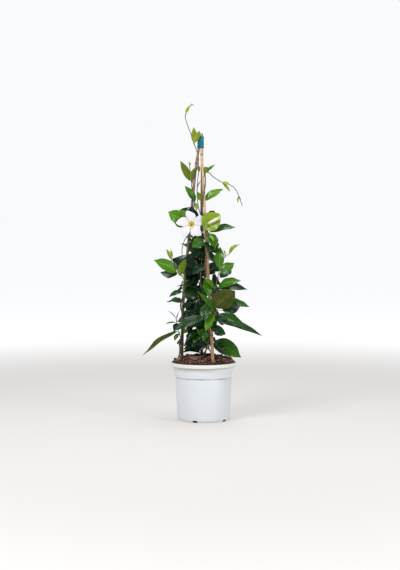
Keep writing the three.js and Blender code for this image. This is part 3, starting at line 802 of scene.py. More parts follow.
@dataclass(frozen=True)
class PetalFinish:
    """The skin of a petal, whose map runs across and out along it.

    Attributes:
        name: The material's name.
        blade: Colour of the open petal.
        shaded: Colour of its fold lines and soft patches: its faint veining, the bud's pink tinge, and
            painted shade.
        foot: Colour near the throat or the bud's base.
        foot_end: Share of the length at which the foot's colour ends.
        tip: Colour at the tip.
    """

    name: str
    blade: Colour
    shaded: Colour
    foot: Colour
    foot_end: float
    tip: Colour

    def material(self) -> Material:
        """Builds the material.

        Returns:
            The material.
        """
        g = Graph(self.name)
        place = g.chart()
        across, along = place.outputs["X"], place.outputs["Y"]
        wobble = g.times(g.cloud(130.0, 3.0), 0.6)
        ribs = g.reckon("SINE", g.plus(g.times(across, 70.0), g.times(wobble, 8.0)))
        # Fold lines and soft cloudy patches take the shaded colour: faint veining with painted shade.
        lines = g.ease(ribs, 0.35, 1.0, 0.0, 0.2)
        cloud = g.cloud(60.0, 3.0)
        colour = g.blend(g.plus(lines, g.ease(cloud, 0.45, 0.75, 0.0, 0.3)), self.blade, self.shaded)
        colour = g.blend(g.ease(along, 0.86, 1.0, 0.0, 0.8), colour, self.tip)
        colour = g.blend(g.ease(along, 0.0, self.foot_end, 1.0, 0.0), colour, self.foot)
        g.relief(g.plus(g.times(ribs, 0.5), cloud), 0.2, 0.0004)
        return g.finish(colour, 0.6, Specular_IOR_Level=0.3)


@dataclass(frozen=True)
class ThroatFinish:
    """The gold of the throat, deeper inside."""

    name: str = "throat_gold"
    rim: Colour = (0.92, 0.78, 0.20)
    deep: Colour = (0.80, 0.66, 0.10)

    def material(self) -> Material:
        """Builds the material.

        Returns:
            The material.
        """
        g = Graph(self.name)
        place, grain = g.chart(), g.cloud(700.0, 4.0)
        inside = g.ease(place.outputs["Y"], 0.55, 0.9)
        ribs = g.ease(g.reckon("SINE", g.times(place.outputs["X"], 25.0 * TURN)), 0.2, 1.0, 0.0, 0.35)
        share = g.plus(inside, g.plus(ribs, g.times(grain, 0.2)))
        colour = g.blend(share, self.rim, self.deep)
        g.relief(grain, 0.5, 0.0004)
        return g.finish(colour, 0.6, Specular_IOR_Level=0.3)


@dataclass(frozen=True)
class NurseryPot:
    """The moulded pot, with a flared collar, a rolled lip and notches in its foot."""

    rim_radius: float = 85.0
    rim_height: float = 150.0
    lip_height: float = 10.0
    lip_thickness: float = 3.2
    collar_radius: float = 77.3
    collar_bottom: float = 113.0
    body_top_radius: float = 72.6
    body_foot_radius: float = 68.8
    foot_round: float = 9.0
    wall: float = 1.5
    floor: float = 2.0
    notch_count: int = 5
    notch_width: float = 12.0
    notch_height: float = 6.0
    notch_depth: float = 8.0
    notch_round: float = 1.4
    notch_first: float = -19.5
    finish: PotFinish = PotFinish()

    STEPS = 144

    def foot(self, inset: float) -> list[tuple[float, float]]:
        """The rounded foot of the wall.

        Args:
            inset: How far inside the outer face it lies.

        Returns:
            Radius and height of each point, upwards.
        """
        centre, reach = self.body_foot_radius - self.foot_round, self.foot_round - inset
        arc = [math.radians(11.25 * n) for n in range(9)]
        line = [(centre + reach * math.sin(a), self.foot_round - reach * math.cos(a)) for a in arc]
        return [*line, (self.body_top_radius - inset, self.collar_bottom - 2.5)]

    def profile(self) -> list[tuple[float, float]]:
        """The wall's section, from the axis outside round to the axis inside.

        Returns:
            Radius and height of each corner.
        """
        top = self.rim_height - self.lip_height
        shoulder = self.collar_bottom + 22.0
        outside = [
            (0.0, 0.0),
            *self.foot(0.0),
            (self.body_top_radius - 0.5, self.collar_bottom - 1.0),
            (self.body_top_radius + 1.2, self.collar_bottom),
            (self.collar_radius, shoulder),
            (self.collar_radius, top),
            (self.rim_radius - 0.4, top - 0.2),
            (self.rim_radius, top + 2.5),
            (self.rim_radius, self.rim_height - 2.2),
            (self.rim_radius - 0.5, self.rim_height),
        ]
        inside = [
            (self.rim_radius - self.lip_thickness + 0.2, self.rim_height),
            (self.rim_radius - self.lip_thickness, self.rim_height - 1.0),
            (self.collar_radius - self.wall, top - 1.5),
            (self.collar_radius - self.wall, shoulder + 0.5),
            (self.body_top_radius - self.wall, self.collar_bottom),
            *reversed(self.foot(self.wall)[1:-1]),
            (self.body_foot_radius - self.foot_round, self.floor),
            (0.0, self.floor),
        ]
        return outside + inside

    def notch_cutter(self) -> bpy.types.Object:
        """Builds the blocks that cut the notches, with rounded corners.

        Returns:
            The blocks as one object.
        """
        shape = Shape("notch_cutter")
        for n in range(self.notch_count):
            bm = Shape.fresh()
            bmesh.ops.create_cube(bm, size=1.0)
            size = (self.notch_width, 2.0 * self.notch_depth, 2.0 * self.notch_height)
            bmesh.ops.scale(bm, vec=size, verts=bm.verts[:])
            upright = [e for e in bm.edges if abs((e.verts[0].co - e.verts[1].co).normalized().y) > 0.9]
            round_edges(bm, upright, self.notch_round)
            bmesh.ops.translate(bm, vec=(0.0, -self.body_foot_radius, 0.0), verts=bm.verts[:])
            turn = Matrix.Rotation(math.radians(self.notch_first) + n * TURN / self.notch_count, 4, "Z")
            bmesh.ops.transform(bm, matrix=turn, verts=bm.verts[:])
            shape.take(bm)
        # The blocks carry the notches' painted shadow material.
        return shape.finish(self.finish.shadow())

    def build(self) -> None:
        """Builds the pot and cuts its notches."""
        shape = Shape("nursery_pot")
        shape.take(shape.lathe(self.profile(), self.STEPS, bevel=0.45))
        pot, cutter = shape.finish(self.finish.material()), self.notch_cutter()
        cut = pot.modifiers.new("notches", "BOOLEAN")
        cut.object, cut.operation, cut.solver = cutter, "DIFFERENCE", "EXACT"
        # The cut faces take the cutter's painted shadow material.
        cut.material_mode = "TRANSFER"
        view = bpy.context.evaluated_depsgraph_get()
        cut_mesh = bpy.data.meshes.new_from_object(pot.evaluated_get(view))
        pot.modifiers.clear()
        pot.data = cut_mesh
        bpy.data.objects.remove(cutter)
        seat(pot, "pot", "pot")


@dataclass(frozen=True)
class PottingMix:
    """The bark and peat mound that fills the pot, with loose chips and coir on it."""

    pot: NurseryPot
    rise: float = 13.0
    chips: int = 1250
    strands: int = 170
    gap: float = 0.35
    seed: int = 11

    RINGS = 26
    STEPS = 120
    CHIP_LENGTHS = (3.0, 4.0, 5.0, 6.5, 9.0, 12.5)
    STRAND_POINTS = 8
    FROM_BRIM = 1.5

    @property
    def brim(self) -> float:
        """Radius at which the mix meets the pot's lip."""
        return self.pot.rim_radius - self.pot.lip_thickness - 0.9

    def top(self, x: float, y: float) -> float:
        """The height of the mound.

        Args:
            x: Place across.
            y: Place in depth.

        Returns:
            The height, lumps included.
        """
        radius, angle = math.hypot(x, y), math.atan2(y, x)
        mound = self.rise * math.cos(min(radius / self.brim, 1.0) ** 2 * math.pi * 0.47)
        lumps = math.sin(angle * 7 + radius * 0.31) + math.sin(angle * 11 - radius * 0.47)
        rough = noise.noise(Vector((x, y, 0.0)) * 0.11) * 2.4 + noise.noise(Vector((x, y, 9.0)) * 0.31) * 1.3
        ease_off = 1.0 - smooth_step(self.brim - 9.0, self.brim, radius)
        return self.pot.rim_height + mound + (1.1 * lumps + rough) * (0.25 + 0.75 * ease_off)

    def build(self) -> None:
        """Builds the mound and what lies on it."""
        self.build_mound()
        self.build_litter()

    def build_mound(self) -> None:
        """Builds the body of the mix, down to the pot's floor."""
        pot, shape = self.pot, Shape("potting_mix")
        rings = [(self.brim * n / self.RINGS, pot.rim_height) for n in range(self.RINGS + 1)]
        collar = pot.collar_radius - pot.wall - self.gap
        sides = [
            (self.brim, pot.rim_height - 1.6),
            (collar, pot.rim_height - pot.lip_height - 1.8),
            (collar, pot.collar_bottom + 23.0),
            (pot.body_top_radius - pot.wall - self.gap, pot.collar_bottom + 0.2),
            (pot.body_foot_radius - pot.wall - self.gap, pot.foot_round),
            (pot.body_foot_radius - pot.foot_round, pot.floor + self.gap),
            (0.0, pot.floor + self.gap),
        ]
        bm = shape.lathe([*rings, *sides], self.STEPS)
        layer = bm.verts.layers.float_color[GROWTH]
        for vert in bm.verts:
            if vert.co.z > pot.rim_height - 1.0:
                vert.co.z = self.top(vert.co.x, vert.co.y)
            # Below the collar the mix is painted black, a painted shadow seen through the notches; above it
            # each point takes a random tone.
            shade = 0.28 + 0.4 * noise.noise(vert.co * 0.2) if vert.co.z > pot.collar_bottom else 0.0
            vert[layer] = (shade, 0.5, 0.5, 1.0)
        shape.take(bm)
        seat(shape.finish(MixFinish("mix_peat").material()), "potting_mix", "soil")

    def spot(self, rng: random.Random, margin: float) -> Vector:
        """A place on the mound.

        Args:
            rng: The source of chance.
            margin: How far from the brim it stays.

        Returns:
            A point on the surface.
        """
        radius = (self.brim - margin) * math.sqrt(rng.random())
        angle = rng.uniform(0.0, TURN)
        x, y = radius * math.cos(angle), radius * math.sin(angle)
        return Vector((x, y, self.top(x, y)))

    def chip(self, shape: Shape, rng: random.Random) -> None:
        """Adds one bit of bark, a flattened block with torn ends.

        Args:
            shape: The piece that takes it.
            rng: The source of chance.
        """
        bm = Shape.fresh()
        bmesh.ops.create_cube(bm, size=1.0)
        length = rng.choice(self.CHIP_LENGTHS) * rng.uniform(0.8, 1.2)
        size = (length, length * rng.uniform(0.35, 0.7), length * rng.uniform(0.18, 0.42))
        bmesh.ops.subdivide_edges(bm, edges=bm.edges[:], cuts=1, use_grid_fill=True)
        for vert in bm.verts:
            vert.co += Vector([rng.uniform(-0.13, 0.13) for _ in range(3)])
            vert.co *= 1.0 - 0.18 * vert.co.length
        bmesh.ops.scale(bm, vec=size, verts=bm.verts[:])
        tilt = Quaternion((rng.uniform(-1, 1), rng.uniform(-1, 1), 0.01), rng.gauss(0.0, 0.45))
        turn = tilt @ Quaternion(UP, rng.uniform(0.0, TURN))
        spot = self.spot(rng, 2.0 + 0.5 * length) + UP * size[2] * rng.uniform(0.0, 0.5)
        move = Matrix.Translation(spot) @ turn.to_matrix().to_4x4()
        bmesh.ops.transform(bm, matrix=move, verts=bm.verts[:])
        shape.paint(bm, (min(1.0, max(0.0, rng.gauss(0.55, 0.32))), rng.random(), 1.0))
        shape.take(bm)

    def strand(self, shape: Shape, rng: random.Random) -> None:
        """Adds one coir fibre that lies over the bark.

        Args:
            shape: The piece that takes it.
            rng: The source of chance.
        """
        start, angle = self.spot(rng, 14.0), rng.uniform(0.0, TURN)
        length, bend = rng.uniform(8.0, 26.0), rng.uniform(-0.09, 0.09)
        count, edge = self.STRAND_POINTS, self.brim - self.FROM_BRIM
        last, points = count - 1, []
        for n in range(count):
            x, y = start.x, start.y
            if points:
                angle += bend * length / last
                x = points[-1].x + math.cos(angle) * length / last
                y = points[-1].y + math.sin(angle) * length / last
            reach = math.hypot(x, y)
            if reach > edge:
                x, y = x * edge / reach, y * edge / reach
            points.append(Vector((x, y, self.top(x, y) + 1.2 + 1.6 * math.sin(n * 1.3 + bend * 40))))
        thin = rng.uniform(0.16, 0.34)
        radii = [thin * math.sin(math.pi * (0.12 + 0.76 * n / last)) for n in range(count)]
        shape.tube(points, radii, 4, [(rng.uniform(0.7, 1.0), 0.5, 1.0)] * count)

    def build_litter(self) -> None:
        """Builds the loose chips and fibres."""
        shape, rng = Shape("bark_and_coir"), random.Random(self.seed)
        for _ in range(self.chips):
            self.chip(shape, rng)
        for _ in range(self.strands):
            self.strand(shape, rng)
        seat(shape.finish(MixFinish("mix_bark").material()), "potting_mix")


@dataclass(frozen=True)
class Cane:
    """One bamboo cane.

    Attributes:
        slot: The record's material slot.
        finish: Its skin.
        joints: Heights of its joints.
        centre: Points of its centre line, foot first.
        foot_radius: Radius at the foot.
        top_radius: Radius at the top.
    """

    slot: str
    finish: CaneFinish
    joints: tuple[float, ...]
    centre: tuple[Point, ...]
    foot_radius: float = 4.2
    top_radius: float = 3.2


class BambooCane:
    """A cane with joint rings and a cut, hollow top, which other pieces lean on.

    The rows of JOINT are heights from a joint, each with its share of the swelling and of the scar.
    """

    LINE_POINTS = 240
    SIDES = 20
    STEP = 9.0
    RING = 0.75
    HOLLOW = 0.45
    HOLLOW_DEPTH = 7.0
    JOINT_HALF = 5.0
    JOINT = (
        (-4.0, 0.1, 0.0),
        (-2.2, 0.35, 0.3),
        (-1.0, 1.0, 0.55),
        (-0.3, 0.8, 0.9),
        (0.1, 0.0, 1.0),
        (0.5, 0.75, 0.8),
        (1.5, 0.45, 0.35),
        (3.6, 0.08, 0.0),
    )
    STALK_CHECKS = (0.15, 0.3, 0.45, 0.6, 0.75, 0.9)

    def __init__(self, name: str, cane: Cane) -> None:
        """Works out the cane's line once.

        Args:
            name: The cane's name.
            cane: Its sizes.
        """
        self.name, self.cane = name, cane
        curve = SmoothLine(cane.centre)
        self.line = [curve.at(n / self.LINE_POINTS) for n in range(self.LINE_POINTS + 1)]
        self.foot, self.top = cane.centre[0][2], cane.centre[-1][2]

    def radius(self, height: float) -> float:
        """The radius between joints at a height."""
        share = (height - self.foot) / (self.top - self.foot)
        return mixed(self.cane.foot_radius, self.cane.top_radius, share)

    def centre(self, height: float) -> Vector:
        """The centre at a height.

        Args:
            height: The height.

        Returns:
            The centre point.
        """
        high = bisect_left(self.line, height, key=lambda point: point.z)
        high = min(max(high, 1), len(self.line) - 1)
        low, above = self.line[high - 1], self.line[high]
        return low.lerp(above, (height - low.z) / (above.z - low.z))

    def clears(self, start: Vector, end: Vector, room: float) -> bool:
        """Whether a straight stalk passes clear of the cane.

        Args:
            start: The stalk's start.
            end: The stalk's end.
            room: How far its centre must stay from the cane's skin.

        Returns:
            True if it passes clear.
        """
        for t in self.STALK_CHECKS:
            point = start.lerp(end, t)
            if (point - self.centre(point.z)).xy.length <= self.radius(point.z) + room:
                return False
        return True

    def stations(self) -> list[tuple[float, float, float]]:
        """The rows of points along the cane.

        Returns:
            Heights with the swelling and the scar there.
        """
        joints = self.cane.joints
        count = round((self.top - self.foot) / self.STEP)
        heights = [mixed(self.foot, self.top, n / count) for n in range(count + 1)]
        rows = [(z, 0.0, 0.0) for z in heights if all(abs(z - joint) > self.JOINT_HALF for joint in joints)]
        rows += [(joint + z, self.RING * swell, scar) for joint in joints for z, swell, scar in self.JOINT]
        return sorted(rows)

    def build(self) -> None:
        """Builds the cane."""
        rows = [(self.centre(z), self.radius(z) + swell, scar) for z, swell, scar in self.stations()]
        top, low, rim = self.line[-1], self.centre(self.top - self.HOLLOW_DEPTH), self.cane.top_radius
        rows += [
            (top, rim * 0.97, 0.25),
            (top, rim * 0.62, 0.1),
            (self.centre(self.top - 0.6), rim * self.HOLLOW, 0.9),
            (low, rim * self.HOLLOW, 1.0),
            (low, 0.0, 1.0),
        ]
        rows.insert(0, (rows[0][0], 0.0, 1.0))
        last = len(rows) - 1

        def place(across: float, along: float) -> Vector:
            """The point on the cane's skin, which is a little oval.

            Args:
                across: Share round.
                along: Share along.

            Returns:
                The point.
            """
            centre, radius, _ = rows[round(along * last)]
            flat = 1.0 + 0.03 * math.cos(2.0 * across * TURN + centre.z * 0.004)
            return centre + radius * flat * polar(1.0, across * TURN)

        shape = Shape(f"bamboo_{self.name}")
        shape.sheet(self.SIDES, last, place, lambda across, along: (rows[round(along * last)][2], 0.5, 1.0))
        seat(shape.finish(self.cane.finish.material()), self.cane.slot, f"cane_{self.name}")


@dataclass(frozen=True)
class CaneTie:
    """Tape wound in a rising spiral round the three cane tops, with a loose end."""

    canes: tuple[BambooCane, ...]
    bottom: float = 700.0
    top: float = 731.0
    wall: float = 1.1
    turns: float = 5.5
    finish: TapeFinish = TapeFinish()

    SIDES = 96
    ROWS = 124
    END_ANGLE = math.radians(-70.0)
    END_HEIGHT = 8.0
    END_LENGTH = 6.0
    END_FALL = 7.0
    END_HALF_WIDTH = 1.8
    END_HALF_WALL = 0.22

    def reach(self, z: float, angle: float) -> tuple[Vector, float]:
        """How far the tape stands from the middle of the canes.

        Args:
            z: The height.
            angle: The direction.

        Returns:
            The middle of the canes there, and the distance.
        """
        centres = [cane.centre(z) for cane in self.canes]
        middle = sum(centres, Vector()) / len(centres)
        way = polar(1.0, angle)
        far = max((centre - middle).dot(way) for centre in centres)
        return middle, far + self.canes[0].cane.top_radius

    def build(self) -> None:
        """Builds the wound tape and its loose end."""
        shape = Shape("tie_wrap")

        def place(across: float, along: float) -> Vector:
            """The point on the tape, with a step at each overlap.

            Args:
                across: Share round.
                along: Share along.

            Returns:
                The point.
            """
            z, angle = mixed(self.bottom, self.top, along), across * TURN
            middle, reach = self.reach(z, angle)
            if along in (0.0, 1.0):
                return Vector((middle.x, middle.y, z))
            lap = (along * self.turns + across) % 1.0
            waist = 0.5 + 0.5 * math.cos(TURN * along)
            slack = 0.35 * noise.noise(polar(1.0, angle, z * 0.12) * 2.2)
            reach += self.wall * (0.45 + 0.55 * lap + 0.4 * waist) + slack
            return middle.xy.to_3d() + polar(1.0, angle) * reach + UP * z

        def tint(across: float, along: float) -> Colour:
            """Painted shade where one lap goes under the next."""
            return ((along * self.turns + across) % 1.0, 0.5, 0.5)

        shape.sheet(self.SIDES, self.ROWS, place, tint)
        self.loose_end(shape)
        seat(shape.finish(self.finish.material()), "tie", "cane_tie")

    def loose_end(self, shape: Shape) -> None:
        """Adds the short end of tape that stands off the last lap.

        Args:
            shape: The piece that takes it.
        """
        angle, z = self.END_ANGLE, self.bottom + self.END_HEIGHT
        middle, reach = self.reach(z, angle)
        way = polar(1.0, angle)
        root = middle.xy.to_3d() + way * (reach + 0.8) + UP * z
        aside = Vector((-math.sin(angle), math.cos(angle), 0.0))

        def place(across: float, along: float) -> Vector:
            """The point on the thin strip.

            Args:
                across: Share round.
                along: Share along.

            Returns:
                The point.
            """
            turn = across * TURN
            spine = root + aside * (self.END_LENGTH * along) + way * (0.6 * math.sin(along * 2.6))
            spine -= UP * (self.END_FALL * along)
            flat = math.sin(math.pi * min(1.0, 0.04 + along)) ** 0.25 if along < 1.0 else 0.0
            high, thick = self.END_HALF_WIDTH * math.cos(turn), self.END_HALF_WALL * math.sin(turn)
            return spine + UP * (high * flat) + way * (thick * flat)

        shape.sheet(12, 12, place)


@dataclass(frozen=True)
class Leaf:
    """One leaf.

    Attributes:
        base: Where the blade starts.
        tip: Where it ends.
        width: Its greatest width.
        roll: How far its upper face is rolled from the sky, in degrees.
        age: From 0, a pale new leaf, to 1, a dark old one.
        arch: Its arch as a share of its length.
    """

    base: Point
    tip: Point
    width: float
    roll: float
    age: float
    arch: float = 0.08


@dataclass(frozen=True)
class Winding:
    """How a stem winds up its cane: first and last height, pitch, and an angle at a height."""

    first: float
    last: float
    pitch: float
    angle: float
    at: float


@dataclass(frozen=True)
class Calyx:
    """A cup of sepals: its foot and the way that it opens."""

    at: Point
    way: Point


@dataclass(frozen=True)
class VinePlan:
    """How one vine grows.

    Attributes:
        cane: The cane that it climbs.
        slot: The record's material slot.
        root: Its first points, out of the mix.
        winding: How it winds up the cane.
        tip: The points of its growing tip.
        shoots: The points of its side shoots.
        leaves: Its leaves.
        stalk: The points of its flower stalk.
        calyx: The sepals on that stalk.
    """

    cane: str
    slot: str
    root: tuple[Point, ...]
    winding: Winding
    tip: tuple[Point, ...]
    shoots: tuple[tuple[Point, ...], ...]
    leaves: tuple[Leaf, ...]
    stalk: tuple[Point, ...] = ()
    calyx: Calyx | None = None


class Side(Enum):
    """What a face of a vine belongs to, as its material slot."""

    STEM = 0
    UPPER = 1
    UNDER = 2


class Blade:
    """The form of one leaf's blade."""

    FOLD = 0.16
    PILLOW = 0.004
    GROOVE = 0.016
    THICKNESS = 0.26
    SMALL = 20.0
    SMALL_GRID = (16, 16)
    GRID = (28, 38)

    def __init__(self, leaf: Leaf, rng: random.Random) -> None:
        """Works out the blade's directions and its own unevenness.

        Args:
            leaf: The leaf's sizes.
            rng: The source of chance.
        """
        self.leaf = leaf
        self.start, self.end = Vector(leaf.base), Vector(leaf.tip)
        self.length = (self.end - self.start).length
        self.along = (self.end - self.start).normalized()
        face = (UP - UP.dot(self.along) * self.along).normalized()
        face.rotate(Quaternion(self.along, math.radians(leaf.roll)))
        self.face, self.across = face, self.along.cross(face)
        self.phase = rng.uniform(0.0, TURN)
        self.waves = rng.uniform(1.6, 2.8)
        self.ripple = rng.uniform(0.02, 0.055) * leaf.width
        self.droop = rng.uniform(-0.01, 0.045) * self.length
        self.tint = rng.random()

    def outline(self, t: float) -> float:
        """The half width's share, drawn out to a thin tip unless the leaf is broad.

        Args:
            t: Share of the blade's length.

        Returns:
            A number from 0 to 1.
        """
        if not 0.0 < t < 1.0:
            return 0.0
        broad = smooth_step(0.6, 1.0, self.leaf.width / self.length)
        taper = 1.0 - mixed(0.30, 0.0, broad) * smooth_step(0.72, 1.0, t)
        return taper * math.sin(math.pi * t**0.82) ** mixed(0.85, 0.68, broad)

    def centre(self, t: float) -> Vector:
        """The point on the midrib's line.

        Args:
            t: Share of the blade's length.

        Returns:
            The point.
        """
        arch = self.leaf.arch * self.length * 4.0 * t * (1.0 - t)
        sag = self.droop * smooth_step(0.55, 1.0, t) * (1 - t) * 4
        return self.start.lerp(self.end, t) + self.face * (arch - sag)

    def up(self, t: float) -> Vector:
        """The upper face's direction at a share of the length."""
        way = self.centre(min(1.0, t + 0.01)) - self.centre(max(0.0, t - 0.01))
        return self.across.cross(way).normalized()

    def point(self, s: float, t: float, over: float) -> Vector:
        """A point on the blade.

        Args:
            s: From -1 at one edge to 1 at the other.
            t: Share of the length.
            over: 1 on the upper face and -1 on the under face.

        Returns:
            The point.
        """
        half = self.outline(t) * self.leaf.width / 2.0
        wide = abs(s)
        wave = math.sin(self.phase + self.waves * TURN * t + (1.3 if s > 0 else 0.0))
        lift = wide * half * self.FOLD + self.ripple * wide**2.5 * wave * math.sin(math.pi * t) ** 0.5
        vein = ((t - VEIN_LEAN * wide**VEIN_BEND) * SIDE_VEINS) % 1.0
        pillow = (1.0 - (2.0 * vein - 1.0) ** 2) * self.PILLOW * self.leaf.width * wide**0.6 * (1.0 - wide**4)
        groove = self.GROOVE * self.leaf.width * math.exp(-((wide / 0.09) ** 2)) * smooth_step(1.0, 0.3, t)
        body = over * self.THICKNESS * max(0.0, 1.0 - wide**6)
        rise = lift + pillow - groove + body
        return self.centre(t) + self.across * (s * half) + self.up(t) * rise

    def add_to(self, shape: Shape) -> None:
        """Adds the blade, in fewer faces where it is small.

        Args:
            shape: The piece that takes it.
        """
        grid = self.SMALL_GRID if self.leaf.width < self.SMALL else self.GRID
        faces = (Side.UPPER.value, Side.UNDER.value)
        shape.blade(*grid, self.point, (self.leaf.age, self.tint, 0.0), faces)


class Vine:
    """One vine: its twining stem, growing tip, side shoots, stalked leaves and calyx.

    STALK gives shares along a leaf's stalk with its thickness there, RIDGE the shares along the
    midrib that the stalk runs on to, and CALYX_OUTSIDE and CALYX_INSIDE the cup's radii and heights.
    """

    STEM_RADIUS = 1.6
    TIP_RADIUS = 0.95
    SHOOT_RADIUS = 1.15
    PETIOLE_RADIUS = 0.9
    TWINE_CLEARANCE = 1.2
    STALK_CLEARANCE = 0.8
    WINDING_STEP = 16.0
    STEP = 4.0
    BEARER_DROP = 4.0
    JOINT_REACH = 2.6
    STALK = ((0.0, 1.35), (0.15, 1.0), (0.35, 0.85), (0.6, 0.85), (0.85, 0.95), (0.97, 1.0))
    RIDGE = (0.04, 0.12, 0.25, 0.4, 0.55, 0.7, 0.82, 0.9)
    CALYX_OUTSIDE = ((0.0, -3.4), (1.4, -3.2), (2.4, -2.6), (3.2, 0.0), (3.7, 3.0), (3.9, 5.5))
    CALYX_INSIDE = ((3.4, 5.3), (3.1, 2.6), (2.7, -0.5), (0.0, -0.5))

    def __init__(self, name: str, plan: VinePlan, cane: BambooCane, seed: int) -> None:
        """Works out the vine's lines.

        Args:
            name: The vine's name.
            plan: How it grows.
            cane: The cane that it climbs.
            seed: Where its chance starts.
        """
        self.name, self.plan, self.cane = name, plan, cane
        self.rng = random.Random(seed)
        winding = self.winding_points()
        self.main = SmoothLine([*plan.root, *winding]).spaced(self.STEP)
        self.tip = SmoothLine([*winding[-2:], *plan.tip]).spaced(self.STEP)
        self.shoots = [self.rooted(points) for points in plan.shoots]
        self.stalk = self.rooted(plan.stalk) if plan.stalk else []

    def winding_points(self) -> list[Vector]:
        """Winds the stem round its cane.

        Returns:
            The stem's points.
        """
        wind = self.plan.winding
        count = math.ceil((wind.last - wind.first) / self.WINDING_STEP)
        points = []
        for n in range(count + 1):
            z = mixed(wind.first, wind.last, n / count)
            turn = math.radians(wind.angle + (z - wind.at) * 360.0 / wind.pitch)
            reach = self.cane.radius(z) + self.STEM_RADIUS + self.TWINE_CLEARANCE
            points.append(self.cane.centre(z).xy.to_3d() + polar(reach, turn, z))
        return points

    def rooted(self, points: Sequence[Point]) -> list[Vector]:
        """Close points along a side line that starts on the main stem or on the tip."""
        start = min([*self.main, *self.tip], key=lambda place: (place - Vector(points[0])).length_squared)
        return SmoothLine([start, *points[1:]]).spaced(self.STEP)

    def bearer(self, base: Vector) -> Vector:
        """The point of a stem that bears a leaf, with no cane between.

        Args:
            base: Where the blade starts.

        Returns:
            The point on a stem's centre line.
        """
        places = [*self.main, *self.tip, *(point for shoot in self.shoots for point in shoot)]
        wanted = base - self.BEARER_DROP * UP
        order = sorted(places, key=lambda place: (place - wanted).length_squared)
        room = self.PETIOLE_RADIUS + self.STALK_CLEARANCE
        return next((place for place in order if self.cane.clears(place, base, room)), order[0])

    def stem(
        self,
        shape: Shape,
        line: list[Vector],
        radii: tuple[float, float],
        wood: tuple[float, float],
    ) -> None:
        """Adds a stem with swellings where it bears leaves.

        Args:
            shape: The piece that takes it.
            line: Its points.
            radii: Its radius at the start and at the end.
            wood: Its woodiness at the start and at the end.
        """
        joints = [self.bearer(Vector(leaf.base)) for leaf in self.plan.leaves]
        radius, tints = [], []
        for n, point in enumerate(line):
            share = n / (len(line) - 1)
            swell = max(math.exp(-(((point - joint).length / self.JOINT_REACH) ** 2)) for joint in joints)
            rough = 0.07 * noise.noise(point * 0.35)
            radius.append(mixed(*radii, share) * (1.0 + 0.3 * swell + rough))
            tints.append((0.5, 0.5, mixed(*wood, share)))
        shape.tube(line, radius, 12, tints)

    def petiole(self, shape: Shape, blade: Blade) -> None:
        """Adds a leaf's stalk, which runs on as the ridge under the midrib.

        Args:
            shape: The piece that takes it.
            blade: The leaf's blade.
        """
        root, small = self.bearer(blade.start), blade.leaf.width < Blade.SMALL
        thick = self.PETIOLE_RADIUS * (0.62 if small else 0.95)
        span = blade.start - root
        bow = (UP - UP.dot(span.normalized()) * span.normalized()) * span.length * 0.05
        line = [root + span * t - bow * math.sin(math.pi * t) for t, _ in self.STALK]
        radii = [thick * swell for _, swell in self.STALK]
        for t in self.RIDGE:
            thin = thick * (1.0 - t) ** 0.7 * 0.75
            groove = Blade.GROOVE * blade.leaf.width * smooth_step(1.0, 0.3, t)
            line.append(blade.centre(t) - blade.up(t) * (thin * 0.55 + groove))
            radii.append(thin)
        green = min(0.5, 0.1 + 0.35 * blade.leaf.age)
        shape.tube(line, radii, 8, [(0.5, 0.5, green)] * len(line))

    def calyx(self, shape: Shape, calyx: Calyx) -> None:
        """Adds a cup of five pointed sepals.

        Args:
            shape: The piece that takes it.
            calyx: Its place.
        """
        turn = UP.rotation_difference(Vector(calyx.way).normalized())
        profile = self.CALYX_OUTSIDE + self.CALYX_INSIDE
        last = len(profile) - 1

        def place(across: float, along: float) -> Vector:
            """The point on the cup, whose rim rises to five points.

            Args:
                across: Share round.
                along: Share along.

            Returns:
                The point.
            """
            radius, z = profile[round(along * last)]
            peak = abs(math.cos(2.5 * across * TURN)) ** 1.5
            rim = z * (0.45 + 0.75 * peak) if z > 2.0 else z
            spread = radius * (1.0 + 0.10 * peak * smooth_step(1.0, 5.0, z))
            return Vector(calyx.at) + turn @ polar(spread, across * TURN, rim)

        shape.sheet(40, last, place, lambda across, along: (0.5, 0.5, 0.12))

    def build(self) -> None:
        """Builds the vine as one piece."""
        shape = Shape(f"mandevilla_{self.name}")
        self.stem(shape, self.main, (self.STEM_RADIUS * 1.12, self.STEM_RADIUS * 0.85), (1.0, 0.5))
        self.stem(shape, self.tip, (self.STEM_RADIUS * 0.8, self.TIP_RADIUS), (0.55, 0.25))
        for shoot in self.shoots:
            self.stem(shape, shoot, (self.SHOOT_RADIUS, self.SHOOT_RADIUS * 0.75), (0.5, 0.15))
        if self.stalk:
            self.stem(shape, self.stalk, (self.SHOOT_RADIUS, self.SHOOT_RADIUS), (0.3, 0.2))
        if self.plan.calyx:
            self.calyx(shape, self.plan.calyx)
        self.clothe(shape, self.plan.leaves)
        seat(shape.finish(*foliage_finishes()), self.plan.slot, f"vine_{self.name}")

    def clothe(self, shape: Shape, leaves: Sequence[Leaf]) -> None:
        """Adds leaves with their stalks.

        Args:
            shape: The piece that takes them.
            leaves: The leaves.
        """
        for leaf in leaves:
            blade = Blade(leaf, self.rng)
            blade.add_to(shape)
            self.petiole(shape, blade)


